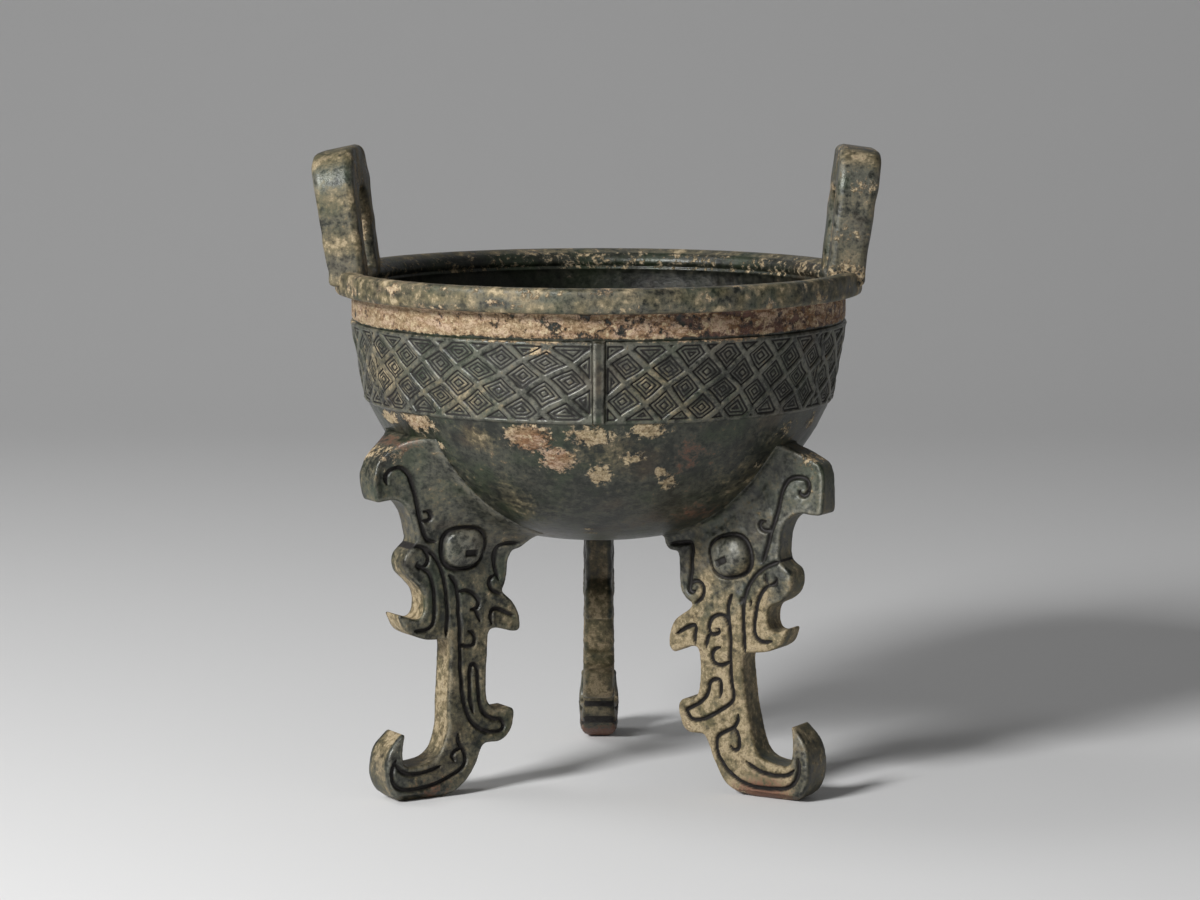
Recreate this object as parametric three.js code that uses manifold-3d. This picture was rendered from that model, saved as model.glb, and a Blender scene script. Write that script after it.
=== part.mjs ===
// Bronze ding: a round cauldron with two upright loop handles on three flat, pierced-edge dragon legs.
// Everything was cast in one pour, so the vessel is one solid. Millimetres, +Z up, origin on the
// ground under the middle of the bowl, handles along X, legs at 90, 210 and 330 degrees.
import * as THREE from 'three';
import { mergeVertices } from 'three/addons/utils/BufferGeometryUtils.js';
import Module from 'manifold-3d';

const wasm = await Module();
wasm.setup();

// ---------- driving dimensions ----------
const RIM_RADIUS = 82.5; // outside of the lip
const RIM_TOP = 161.9;
const LIP_HEIGHT = 7.5;
const LIP_ROUND = 1.1; // softened outer corners of the lip
const LIP_FLAT = 5.5; // level part of the lip's top, inward from its outer edge
const NECK_RADIUS = 77.2; // recessed strip between lip and band
const BAND_TOP = 145.9;
const BAND_BOTTOM = 121.0;
const BAND_TOP_RADIUS = 77.9;
const BAND_BOTTOM_RADIUS = 73.6;
const WALL = 3.6;
const BELLY_RADIUS = 82; // the belly is a superellipse centred at BELLY_CENTRE
const BELLY_DEPTH = 80;
const BELLY_CENTRE = 157.5;
const BELLY_FULLNESS = 2.766; // exponent on the radius
const BELLY_FALL = 1.6; // exponent on the depth
const BEAD_RADIUS = 72.8; // inside of the lip, where it overhangs the wall
const BEAD_DROP = 5.4; // depth of the overhanging bead below the rim

const OUTER_SEGMENTS = 48;
const INNER_SEGMENTS = 32;
const SMOOTHING = 0.05; // flat faces are merged within this tolerance

const RIB_AZIMUTHS = [-90, 30, 150]; // degrees
const RIB_WIDTH = 3.9;
const RIB_PROUD = 1.4;
const SEAM_AZIMUTHS = [-152.5, -30, 90]; // joints between the mould sections, over the legs
const SEAM_MARGIN = 0.6; // degrees kept plain on each side of a joint
const RIB_MARGIN = 2.3; // degrees from a rib's middle to the pattern

const RIBBON = 1.7; // width of the plain ribbons between the lozenges
const LOZENGE_RISE = [5.1, 4.9]; // step along the rising ribbons: degrees, mm
const LOZENGE_FALL = [4.9, -6.1]; // step along the falling ribbons: degrees, mm
const LOZENGE_DEPTH = 0.75;
const BAND_BORDER = 1.1; // plain border above and below the pattern
const SMALLEST_CELL = 20; // mm2, smaller scraps of lozenge are left plain

const HANDLE_WIDTH = 42; // across both posts
const HANDLE_TOP = 200.6;
const HANDLE_FOOT = 157.5; // where the posts end inside the lip
const HANDLE_INNER = 70.6; // radius of the inner face at the rim
const HANDLE_DEPTH = 11.6; // radial thickness at the rim
const HANDLE_SWELL = 1.4; // extra thickness at the crown
const OPENING_WIDTH = 20;
const OPENING_TOP = 187;
const HANDLE_ROUND = 15; // size of the shoulders of the loop
const OPENING_ROUND = 8;
const HANDLE_BEVEL = 1.3;
const HANDLES = [
  { azimuth: 0, turn: 0, lean: 0.105, slope: 0.15 },
  { azimuth: 180, turn: -4, lean: 0.118, slope: 0.24 },
];

const LEG_HALF = 4.8; // half thickness of the leg plate at the middle of the shaft
const LEG_MIDDLE = [50, 40]; // that place, [out, up]
const LEG_TAPER = [0.025, -0.01]; // the plate thickens outward and thins upward
const GROOVE_WIDTH = 1.5;
const GROOVE_DEPTH = 1.15;
const EYE = { r: 51.2, z: 77.6, radius: 6.1, proud: 3.4, moat: 7.3 };
const PUPIL = { length: 3.9, width: 1.7, depth: 1.2, tilt: -12 };
const COLLAR_HALF = 8.2; // half thickness of the leg where it flows into the bowl
const COLLAR_REACH = 9; // length of that flare
const CLOSEST_POINTS = 0.5; // outline points nearer than this are merged

// Each leg came out of its own mould: how far its features sit from the pattern below, [out, up] in mm.
const LEGS = [
  { azimuth: -150, shift: {} },
  {
    azimuth: -30,
    shift: {
      horn: [-0.6, -3], neck: [-0.8, -4.2], ear: [-1.4, -4.3], eye: [-1.9, -2.8], shaft: [-0.9, -1],
      hook: [-0.9, 0], arch: [-2.6, 0.8], heel: [-1.9, 2.4], shin: [-3.9, -1], beak: [-2.4, -6], jaw: [-3.6, -3.4],
    },
  },
  {
    azimuth: 90,
    shift: {
      horn: [-0.3, -1.5], neck: [-0.4, -2], ear: [-0.7, -2.2], eye: [-0.9, -1.4], shaft: [-0.4, 0],
      arch: [-1, 0.6], heel: [-0.8, 2], shin: [-1.8, 0], beak: [-1, -4.8], jaw: [-1.2, -1.5],
    },
  },
];

// Outline of the leg pattern, [out, up], from the bowl round the horn, ear, foot, heel, beak and jaw.
// A curved stretch is a spline through its points, a straight one joins its two ends.
const OUTLINE = [
  { part: 'horn', curve: [[70, 114], [74.6, 110.9], [78.8, 107.6], [81, 103], [81.2, 98], [80.5, 93.8]] },
  { part: 'horn', line: [[80.5, 93.8], [76, 93.6]] },
  { part: 'neck', curve: [[72.6, 93], [69.2, 89.6], [67.4, 84], [66.9, 80.4]] },
  { part: 'ear', curve: [[69.4, 78], [71.2, 74.4], [70, 70.2], [66.2, 66.4], [64.3, 61.6], [65.6, 57.2]] },
  { part: 'ear', curve: [[68.6, 56.6], [73, 58.4]] },
  { part: 'ear', curve: [[73, 58.2], [71.4, 54.2], [68.2, 51.4], [63.8, 50]] },
  { part: 'ear', line: [[60.5, 49.8], [55.7, 49.6]] },
  { part: 'shaft', curve: [[55.6, 46], [56.1, 34], [56.5, 24]] },
  { part: 'hook', curve: [[57.2, 19], [59.4, 14], [63.6, 11.5], [68.6, 10.8], [72.4, 12.4], [72.8, 15.8], [71.6, 20.6]] },
  { part: 'hook', curve: [[72.4, 21.2], [76.8, 17.6], [78.8, 12], [78.2, 6], [75.2, 1.6], [71, 0]] },
  { part: 'hook', line: [[71, 0], [58.5, 0]] },
  { part: 'arch', curve: [[55, 1], [51.2, 3.3], [48, 7], [45.9, 11.2], [44.4, 14.6], [42.4, 15.5]] },
  { part: 'heel', curve: [[38.6, 15.6], [35.4, 17.1], [33.5, 20.6], [33, 25.2]] },
  { part: 'heel', curve: [[34, 26], [37.6, 26], [41, 27.4], [42.7, 30.4]] },
  { part: 'shin', line: [[42.8, 34], [42, 48]] },
  { part: 'beak', line: [[41.4, 51.4], [37.6, 51.1]] },
  { part: 'beak', curve: [[34.2, 50.1], [31, 49.9], [30.5, 52], [31.6, 56.6], [34, 60], [36.7, 62.6]] },
  { part: 'jaw', curve: [[35.6, 65.6], [35, 70], [34.9, 74.2], [34, 76]] },
  { part: 'jaw', curve: [[31.6, 76.8], [30.8, 79.2], [29.6, 80.8]] },
];

// Centre lines of the grooves cut into both faces of a leg, [out, up].
const GROOVES = [
  { part: 'horn', points: [[76.9, 99.2], [77, 102.6], [72.2, 103.8], [69.2, 99.6], [65, 84.6]] },
  { part: 'neck', points: [[65, 84.6], [63.4, 81], [60.3, 80.1]] },
  { part: 'ear', points: [[69, 78.8], [64.4, 78.2], [58.4, 71.4], [56.5, 60], [56.9, 50.8]] },
  { part: 'ear', points: [[65.4, 74], [65.2, 72.2], [62, 68.9], [60.9, 60], [63, 53.6], [67.7, 53]] },
  { part: 'shaft', points: [[55.8, 69.3], [52.9, 65], [52.1, 46], [51.4, 31], [45.4, 20.5]] },
  { part: 'heel', points: [[45.4, 20.5], [37, 19], [37.6, 22.6], [42.4, 23.9]] },
  { part: 'shin', points: [[42.4, 23.9], [45.4, 29], [46.2, 40.2], [48.3, 40.4], [48.6, 27]] },
  { part: 'shin', points: [[52.5, 64], [46.6, 62.6], [46.4, 58.1], [44.9, 54.4]] },
  { part: 'shin', points: [[52, 47.4], [47.6, 46.8], [48, 51.2]] },
  { part: 'beak', points: [[40.9, 53.1], [40.4, 57.3], [33.2, 54.9]] },
  { part: 'jaw', points: [[33.4, 78.1], [39.4, 77.2], [39.3, 69.6], [41.4, 66], [37.6, 62.2]] },
  { part: 'hook', points: [[53.3, 19.6], [50.6, 12.4], [53.4, 7.6], [67, 4], [75.8, 5.6], [76, 12]] },
  { part: 'hook', points: [[74.6, 11.2], [67.2, 8.5], [59.8, 10]] },
];

// ---------- profiles ----------
const radians = THREE.MathUtils.degToRad;

function bellyHeight(r, inset = 0) {
  const fall = 1 - Math.pow(Math.min(1, r / (BELLY_RADIUS - inset)), BELLY_FULLNESS);
  return BELLY_CENTRE - (BELLY_DEPTH - inset) * Math.pow(fall, 1 / BELLY_FALL);
}

function bellyRadius(z, inset = 0) {
  const fall = Math.pow((BELLY_CENTRE - z) / (BELLY_DEPTH - inset), BELLY_FALL);
  return (BELLY_RADIUS - inset) * Math.pow(1 - fall, 1 / BELLY_FULLNESS);
}

function bandRadius(z) {
  const rise = (z - BAND_BOTTOM) / (BAND_TOP - BAND_BOTTOM);
  return THREE.MathUtils.lerp(BAND_BOTTOM_RADIUS, BAND_TOP_RADIUS, rise);
}

// ---------- solids from geometries ----------
function solid(geometry) {
  geometry.deleteAttribute('normal');
  geometry.deleteAttribute('uv');
  const merged = mergeVertices(geometry, 1e-4);
  return new wasm.Manifold(new wasm.Mesh({
    numProp: 3,
    vertProperties: new Float32Array(merged.attributes.position.array),
    triVerts: new Uint32Array(merged.index.array),
  }));
}

function signedVolume(points, faces) {
  return faces.reduce((sum, [a, b, c]) => sum + points[a].dot(points[b].clone().cross(points[c])), 0) / 6;
}

// A closed body through a row of convex loops that all have the same number of points.
function loft(loops) {
  const count = loops[0].length;
  const points = loops.flat();
  const faces = [];
  for (let row = 0; row + 1 < loops.length; row += 1) {
    for (let i = 0; i < count; i += 1) {
      const a = row * count + i;
      const b = row * count + ((i + 1) % count);
      faces.push([a, b, b + count], [a, b + count, a + count]);
    }
  }
  const last = (loops.length - 1) * count;
  for (let i = 1; i + 1 < count; i += 1) {
    faces.push([0, i + 1, i], [last, last + i, last + i + 1]);
  }
  if (signedVolume(points, faces) < 0) {
    faces.forEach((face) => face.reverse());
  }
  const geometry = new THREE.BufferGeometry();
  geometry.setAttribute('position', new THREE.Float32BufferAttribute(points.flatMap((p) => p.toArray()), 3));
  geometry.setIndex(faces.flat());
  return solid(geometry);
}

function joined(solids) {
  return solids.reduce((whole, next) => whole.add(next));
}

// Moves every vertex of a geometry by a function of its place.
function bend(geometry, move) {
  const position = geometry.attributes.position;
  const place = new THREE.Vector3();
  for (let i = 0; i < position.count; i += 1) {
    place.fromBufferAttribute(position, i);
    move(place);
    position.setXYZ(i, place.x, place.y, place.z);
  }
  return geometry;
}

// ---------- bowl ----------
function lathe(profile, segments) {
  const points = profile.map(([r, z]) => new THREE.Vector2(r, z));
  return solid(new THREE.LatheGeometry(points, segments).rotateX(Math.PI / 2));
}

function bellyProfile(top, inset, steps) {
  const reach = bellyRadius(top, inset);
  return Array.from({ length: steps + 1 }, (_, i) => {
    const r = reach * Math.sin((i / steps) * (Math.PI / 2));
    return [r, i === steps ? top : bellyHeight(r, inset)];
  });
}

function bowlOutside() {
  const lipBottom = RIM_TOP - LIP_HEIGHT;
  return lathe([
    ...bellyProfile(BAND_BOTTOM, 0, 7),
    [BAND_BOTTOM_RADIUS, BAND_BOTTOM + 0.4],
    [BAND_TOP_RADIUS, BAND_TOP],
    [NECK_RADIUS, BAND_TOP + 1],
    [NECK_RADIUS, lipBottom],
    [RIM_RADIUS - LIP_ROUND, lipBottom],
    [RIM_RADIUS, lipBottom + LIP_ROUND],
    [RIM_RADIUS, RIM_TOP - LIP_ROUND],
    [RIM_RADIUS - LIP_ROUND, RIM_TOP],
    [0, RIM_TOP],
  ], OUTER_SEGMENTS);
}

function bowlInside() {
  const above = RIM_TOP + 4;
  const beadBottom = RIM_TOP - BEAD_DROP;
  const lipInner = RIM_RADIUS - LIP_FLAT;
  return lathe([
    ...bellyProfile(BAND_BOTTOM, WALL, 6),
    [BAND_TOP_RADIUS - WALL, BAND_TOP],
    [NECK_RADIUS - WALL, beadBottom],
    [BEAD_RADIUS, beadBottom + 1],
    [BEAD_RADIUS + 0.2, RIM_TOP - 2.8],
    [BEAD_RADIUS + 1.8, RIM_TOP - 1],
    [lipInner, RIM_TOP],
    [lipInner, above],
    [0, above],
  ], INNER_SEGMENTS);
}

function onBand(azimuth, z, lift) {
  const r = bandRadius(z) + lift;
  return new THREE.Vector3(r * Math.cos(radians(azimuth)), r * Math.sin(radians(azimuth)), z);
}

function rib(azimuth) {
  const half = THREE.MathUtils.radToDeg(RIB_WIDTH / 2 / BAND_TOP_RADIUS);
  const section = [[-1, -1.5], [-1, RIB_PROUD * 0.45], [-0.5, RIB_PROUD], [0.5, RIB_PROUD], [1, RIB_PROUD * 0.45], [1, -1.5]];
  const rows = [0, 0.5, 1].map((t) => THREE.MathUtils.lerp(BAND_BOTTOM + 0.3, BAND_TOP, t));
  return loft(rows.map((z) => section.map(([side, lift]) => onBand(azimuth + side * half, z, lift))));
}

// ---------- lozenge band ----------
// Keeps the side of a convex polygon where the value is not negative.
function clipped(polygon, value) {
  return polygon.flatMap((here, i) => {
    const next = polygon[(i + 1) % polygon.length];
    const [a, b] = [value(here), value(next)];
    const kept = a >= 0 ? [here] : [];
    if (a * b < 0) {
      kept.push(here.clone().lerp(next, a / (a - b)));
    }
    return kept;
  });
}

function lozenge(middle) {
  const shrink = 1 - RIBBON / 6.1;
  const rise = new THREE.Vector2(...LOZENGE_RISE).multiplyScalar(shrink / 2);
  const fall = new THREE.Vector2(...LOZENGE_FALL).multiplyScalar(shrink / 2);
  return [[1, 1], [1, -1], [-1, -1], [-1, 1]].map(([u, v]) => (
    middle.clone().addScaledVector(rise, u).addScaledVector(fall, v)
  ));
}

function area(polygon) {
  const scale = radians(1) * BAND_TOP_RADIUS;
  return Math.abs(THREE.ShapeUtils.area(polygon)) * scale;
}

// The pattern's panels run from joint to rib and from rib to joint, all the way round.
function panels() {
  const edges = [
    ...RIB_AZIMUTHS.map((azimuth) => ({ azimuth, margin: RIB_MARGIN })),
    ...SEAM_AZIMUTHS.map((azimuth) => ({ azimuth, margin: SEAM_MARGIN })),
  ].sort((a, b) => a.azimuth - b.azimuth);
  return edges.map((edge, i) => {
    const next = edges[i + 1] ?? { ...edges[0], azimuth: edges[0].azimuth + 360 };
    return { start: edge.azimuth + edge.margin, end: next.azimuth - next.margin };
  });
}

function lozengeCuts(panel) {
  const bottom = BAND_BOTTOM + BAND_BORDER;
  const top = BAND_TOP - BAND_BORDER;
  const first = new THREE.Vector2(panel.start + 5.6, 138);
  const cuts = [];
  for (let up = -8; up <= 16; up += 1) {
    for (let down = -8; down <= 16; down += 1) {
      const middle = first.clone()
        .addScaledVector(new THREE.Vector2(...LOZENGE_RISE), up)
        .addScaledVector(new THREE.Vector2(...LOZENGE_FALL), down);
      const limits = [(p) => p.x - panel.start, (p) => panel.end - p.x, (p) => p.y - bottom, (p) => top - p.y];
      const cell = limits.reduce(clipped, lozenge(middle));
      if (cell.length > 2 && area(cell) > SMALLEST_CELL) {
        cuts.push(loft([-LOZENGE_DEPTH, 1].map((lift) => cell.map((p) => onBand(p.x, p.y, lift)))));
      }
    }
  }
  return cuts;
}

// ---------- handles ----------
function arch(width, bottom, top, round) {
  const half = width / 2;
  const shape = new THREE.Shape();
  shape.moveTo(-half, bottom);
  shape.lineTo(-half, top - round * 1.25);
  shape.bezierCurveTo(-half, top - round * 0.45, -half + round * 0.35, top, -half + round, top);
  shape.lineTo(half - round, top);
  shape.bezierCurveTo(half - round * 0.35, top, half, top - round * 0.45, half, top - round * 1.25);
  shape.lineTo(half, bottom);
  return shape;
}

// Stands an upright slab on the rim: it leans out, thickens upward and its top slopes down outward.
function stoodOnRim(geometry, { azimuth, turn, lean, slope }) {
  bend(geometry, (place) => {
    const [across, height, depth] = place.toArray();
    const above = Math.max(0, height - RIM_TOP);
    const rise = above / (HANDLE_TOP - RIM_TOP);
    const swell = 1 + (HANDLE_SWELL / HANDLE_DEPTH) * rise;
    place.set(HANDLE_INNER + depth * swell + lean * above, across, height - slope * depth * rise);
  });
  const middle = HANDLE_INNER + HANDLE_DEPTH / 2;
  geometry.translate(-middle, 0, 0).rotateZ(radians(turn)).translate(middle, 0, 0);
  return solid(geometry.rotateZ(radians(azimuth)));
}

function handle(placing) {
  const slab = new THREE.ExtrudeGeometry(arch(HANDLE_WIDTH, HANDLE_FOOT, HANDLE_TOP, HANDLE_ROUND), {
    depth: HANDLE_DEPTH - 2 * HANDLE_BEVEL,
    bevelThickness: HANDLE_BEVEL,
    bevelSize: HANDLE_BEVEL,
    bevelOffset: -HANDLE_BEVEL,
    bevelSegments: 2,
    curveSegments: 5,
  });
  const opening = new THREE.ExtrudeGeometry(arch(OPENING_WIDTH, RIM_TOP, OPENING_TOP, OPENING_ROUND), {
    depth: 2 * HANDLE_DEPTH,
    bevelEnabled: false,
    curveSegments: 4,
  });
  slab.translate(0, 0, HANDLE_BEVEL);
  opening.translate(0, 0, -HANDLE_DEPTH / 2);
  return stoodOnRim(slab, placing).subtract(stoodOnRim(opening, placing));
}

// ---------- legs ----------
// Half thickness of a leg plate, whose two faces are flat but not quite parallel.
function legHalf(r, z) {
  return LEG_HALF + LEG_TAPER[0] * (r - LEG_MIDDLE[0]) + LEG_TAPER[1] * (z - LEG_MIDDLE[1]);
}

function shifted(leg, part, [r, z]) {
  const [out, up] = leg.shift[part] ?? [0, 0];
  return new THREE.Vector2(r + out, z + up);
}

// Places a point of a leg given as out, up and sideways from the middle plane.
function onLeg(leg, r, z, side) {
  const turn = radians(leg.azimuth);
  const across = new THREE.Vector3(-Math.sin(turn), Math.cos(turn), 0).multiplyScalar(side);
  return new THREE.Vector3(r * Math.cos(turn), r * Math.sin(turn), z).add(across);
}

function legShape(leg) {
  const points = OUTLINE.flatMap(({ part, curve, line }) => {
    const ends = (curve ?? line).map((point) => shifted(leg, part, point));
    return curve ? new THREE.SplineCurve(ends).getPoints(ends.length) : ends;
  }).map((point) => point.setY(Math.max(0, point.y)));
  const wallTop = [30, 40, 50, 58, 65, 69].map((r) => new THREE.Vector2(r, bellyHeight(r, WALL * 0.5)));
  const spaced = [...points, ...wallTop].filter((point, i, all) => (
    point.distanceTo(all[(i + 1) % all.length]) > CLOSEST_POINTS
  ));
  return new THREE.Shape(spaced);
}

function legPlate(leg) {
  const geometry = new THREE.ExtrudeGeometry(legShape(leg), { depth: 2, bevelEnabled: false });
  bend(geometry, (place) => {
    const [r, z, side] = place.toArray();
    place.copy(onLeg(leg, r, z, (1 - side) * legHalf(r, z)));
  });
  return solid(geometry);
}

// A groove is a V-shaped channel along a spline, tapering at both ends.
function groove(leg, { part, points }, side) {
  const curve = new THREE.SplineCurve(points.map((point) => shifted(leg, part, point)));
  const steps = points.length - 1;
  const loops = Array.from({ length: steps + 1 }, (_, i) => {
    const t = i / steps;
    const middle = curve.getPoint(t);
    const along = curve.getTangent(t);
    const taper = i === 0 || i === steps ? 0.45 : 1;
    const level = legHalf(middle.x, middle.y);
    const wide = GROOVE_WIDTH * taper;
    const edge = (offset, height) => onLeg(
      leg,
      middle.x - along.y * offset,
      middle.y + along.x * offset,
      side * (level + height),
    );
    return [edge(-wide, 0.9), edge(wide, 0.9), edge(0, -GROOVE_DEPTH * taper)];
  });
  return loft(loops);
}

function eyeParts(leg, side) {
  const middle = shifted(leg, 'eye', [EYE.r, EYE.z]);
  const around = Array.from({ length: 12 }, (_, i) => (i / 12) * 2 * Math.PI);
  const ring = (radius, height) => around.map((angle) => {
    const square = Math.pow(Math.cos(angle) ** 4 + Math.sin(angle) ** 4, -0.18);
    const [c, s] = [Math.cos(angle) * square * radius, Math.sin(angle) * square * radius];
    return onLeg(leg, middle.x + c, middle.y + s, side * (LEG_HALF + height));
  });
  const moat = loft([ring(EYE.moat - 0.5, -GROOVE_DEPTH), ring(EYE.moat, 2)]);
  const dome = loft([[1, -2], [1, 0.25], [0.8, 0.75], [0.4, 1]].map(([reach, rise]) => (
    ring(EYE.radius * reach, rise > 0 ? EYE.proud * rise : rise)
  )));
  const tilt = radians(PUPIL.tilt);
  const corner = (u, v, height) => onLeg(
    leg,
    middle.x + u * PUPIL.length * 0.5 * Math.cos(tilt) - v * PUPIL.width * 0.5 * Math.sin(tilt),
    middle.y + u * PUPIL.length * 0.5 * Math.sin(tilt) + v * PUPIL.width * 0.5 * Math.cos(tilt),
    side * (LEG_HALF + height),
  );
  const corners = [[-1, -1], [1, -1], [1, 1], [-1, 1]];
  const pupil = loft([EYE.proud - PUPIL.depth, EYE.proud + 1].map((height) => corners.map(([u, v]) => corner(u, v, height))));
  return { moat, dome, pupil };
}

// The flare that carries a leg into the bowl: thick at the wall, fading into the plate.
function collar(leg) {
  const stations = [33, 38, 44, 50, 56, 62, 67];
  const flare = [[-WALL * 0.4, 1], [0.4, 1], [2.6, 0.56], [5.4, 0.22], [COLLAR_REACH, 0]];
  return loft(stations.map((r, i) => {
    const slope = Math.atan2(bellyHeight(r + 0.5) - bellyHeight(r - 0.5), 1);
    const ending = i === 0 || i === stations.length - 1 ? 0.35 : 1;
    const side = ([drop, share]) => {
      const half = LEG_HALF - 0.4 + (COLLAR_HALF - LEG_HALF + 0.4) * share * ending;
      return [r + drop * Math.sin(slope), bellyHeight(r) - drop * Math.cos(slope), half];
    };
    const left = flare.map(side);
    const right = [...left].reverse().map(([out, up, half]) => [out, up, -half]);
    return [...left, ...right].map(([out, up, half]) => onLeg(leg, out, up, half));
  }));
}

function legSolid(leg) {
  const sides = [-1, 1];
  const eyes = sides.map((side) => eyeParts(leg, side));
  const cuts = sides.flatMap((side) => GROOVES.map((line) => groove(leg, line, side)));
  return legPlate(leg)
    .add(collar(leg))
    .subtract(joined([...cuts, ...eyes.map(({ moat }) => moat)]))
    .add(joined(eyes.map(({ dome }) => dome)))
    .subtract(joined(eyes.map(({ pupil }) => pupil)));
}

// ---------- vessel ----------
function vessel() {
  const hollow = bowlInside();
  const band = joined(panels().flatMap(lozengeCuts));
  const bowl = bowlOutside().subtract(hollow).subtract(band).add(joined(RIB_AZIMUTHS.map(rib)));
  const limbs = joined([...LEGS.map(legSolid), ...HANDLES.map(handle)]);
  return bowl.add(limbs).asOriginal().simplify(SMOOTHING);
}

function mesh(name, body, look) {
  const { vertProperties, triVerts } = body.getMesh();
  const geometry = new THREE.BufferGeometry();
  geometry.setAttribute('position', new THREE.BufferAttribute(new Float32Array(vertProperties), 3));
  geometry.setIndex(new THREE.BufferAttribute(new Uint32Array(triVerts), 1));
  geometry.computeVertexNormals();
  const result = new THREE.Mesh(geometry, new THREE.MeshStandardMaterial(look));
  result.name = name;
  return result;
}

const ding = new THREE.Group();
ding.add(mesh('ding_vessel', vessel(), { color: 0x4a5245, roughness: 0.55, metalness: 0.45 }));

export default ding;
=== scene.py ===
"""Looks of a cast bronze ding: a round bowl with a lozenge band, two loop handles and three dragon legs.

Every surface is computed here from sizes and formulas, in metres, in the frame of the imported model:
+Z up, the ground at zero, the bowl's axis on the Z axis and the handles along X.
"""

import logging
import math
from dataclasses import dataclass, field
from enum import Enum
from typing import Callable

import bpy
import numpy as np
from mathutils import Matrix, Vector


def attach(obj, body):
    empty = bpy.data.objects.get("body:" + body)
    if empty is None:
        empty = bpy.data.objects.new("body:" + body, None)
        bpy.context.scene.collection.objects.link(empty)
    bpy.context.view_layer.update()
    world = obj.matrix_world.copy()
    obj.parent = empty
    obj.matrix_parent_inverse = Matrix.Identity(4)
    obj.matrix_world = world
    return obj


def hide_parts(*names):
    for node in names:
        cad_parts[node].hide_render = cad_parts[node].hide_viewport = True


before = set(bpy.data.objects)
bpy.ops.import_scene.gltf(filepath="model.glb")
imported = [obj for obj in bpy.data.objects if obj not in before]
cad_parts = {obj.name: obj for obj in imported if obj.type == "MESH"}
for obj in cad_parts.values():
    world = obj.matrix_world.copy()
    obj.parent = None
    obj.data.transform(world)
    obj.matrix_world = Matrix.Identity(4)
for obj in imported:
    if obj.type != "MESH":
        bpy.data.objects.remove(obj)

LOG = logging.getLogger("ding")
MM = 0.001
NODE = "ding_vessel"
BODY = "root"

# What a mask on the mesh can say, the share of a grid step inside which a corner is snapped to the outline,
# the radius left open at the bowl's poles, and how near an edge's quarter round comes to a full one.
MASKS = ("crust", "warm", "film", "red", "carve", "wear", "shade")
SNAP = 0.3
POLE = 0.02
EDGE_DROP = 0.98

Array = np.ndarray
Colour = tuple[float, float, float]
Point = tuple[float, float]
Point3 = tuple[float, float, float]


# ---------------------------------------------------------------- helpers of shape


def smoothstep(low: float, high: float, value: Array) -> Array:
    """Rise softly from 0 at low to 1 at high: t squared times (3 minus 2t)."""
    t = np.clip((value - low) / (high - low), 0.0, 1.0)
    return t * t * (3.0 - 2.0 * t)


def bump(distance: Array, reach: float) -> Array:
    """Return a bell, exp of minus (distance over reach) squared."""
    return np.exp(-((distance / reach) ** 2))


def waves(points: Array, size: float, seed: int, count: int = 28) -> Array:
    """Sum sine waves of random direction into a soft, repeatable unevenness.

    Args:
        points: Places, one row each.
        size: Typical length of a wave, in the unit of the points.
        seed: Picks the set of waves.
        count: How many waves are summed.

    Returns:
        One value per place, about -1 to 1: the sum of sin(k . p + phase) over the waves, over root count.
    """
    rng = np.random.default_rng(seed)
    direction = rng.normal(size=(count, points.shape[1]))
    direction /= np.linalg.norm(direction, axis=1, keepdims=True)
    length = size * rng.uniform(0.6, 1.7, size=(count, 1))
    phase = rng.uniform(0.0, 2.0 * math.pi, size=count)
    total = np.zeros(len(points))
    for k, shift in zip(direction * (2.0 * math.pi) / length, phase):
        total += np.sin(points @ k + shift)
    return total / math.sqrt(count)


def spline(points: list[Point], steps: int = 8, closed: bool = False) -> Array:
    """Draw a smooth curve through points: the Catmull-Rom cubic on each stretch.

    Args:
        points: The places the curve goes through.
        steps: Points made for each stretch.
        closed: Whether the curve comes back to its start.

    Returns:
        The curve's points, one row each.
    """
    knots = np.asarray(points, dtype=float)
    if closed:
        knots = np.vstack([knots[-1:], knots, knots[:2]])
    else:
        knots = np.vstack([2 * knots[0] - knots[1], knots, 2 * knots[-1] - knots[-2]])
    t = np.linspace(0.0, 1.0, steps, endpoint=False)[:, None]
    a, b, c, d = knots[:-3, None], knots[1:-2, None], knots[2:-1, None], knots[3:, None]
    curve = 0.5 * (2 * b + (c - a) * t + (2 * a - 5 * b + 4 * c - d) * t**2 + (3 * b - a - 3 * c + d) * t**3)
    curve = curve.reshape(-1, knots.shape[1])
    return curve if closed else np.vstack([curve, knots[-2:-1]])


def nearest_on_path(points: Array, path: Array) -> tuple[Array, Array, Array]:
    """Find the nearest place of a polyline to each point.

    Args:
        points: Places in the plane, one row each.
        path: The polyline's corners, one row each.

    Returns:
        The distances, the nearest places, and how far along the path they are, from 0 to 1.
    """
    start, step = path[:-1], np.diff(path, axis=0)
    length2 = np.maximum((step**2).sum(axis=1), 1e-18)
    ends = np.concatenate([[0.0], np.cumsum(np.sqrt(length2))])
    distance = np.empty(len(points))
    place = np.empty((len(points), 2))
    along = np.empty(len(points))
    for rows in np.array_split(np.arange(len(points)), max(1, len(points) // 6000)):
        offset = points[rows, None, :] - start[None]
        t = np.clip((offset * step).sum(axis=2) / length2, 0.0, 1.0)
        gap = offset - t[..., None] * step
        square = (gap**2).sum(axis=2)
        best = square.argmin(axis=1)
        picked = np.arange(len(rows))
        share = t[picked, best]
        distance[rows] = np.sqrt(square[picked, best])
        place[rows] = start[best] + share[:, None] * step[best]
        along[rows] = (ends[best] + share * (ends[best + 1] - ends[best])) / ends[-1]
    return distance, place, along


def turned(points: Array, degrees: float) -> tuple[Array, Array]:
    """Turn the axes of the plane by an angle and give the points' two coordinates in them."""
    tilt = math.radians(degrees)
    x, y = points[:, 0], points[:, 1]
    return x * math.cos(tilt) + y * math.sin(tilt), y * math.cos(tilt) - x * math.sin(tilt)


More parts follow.
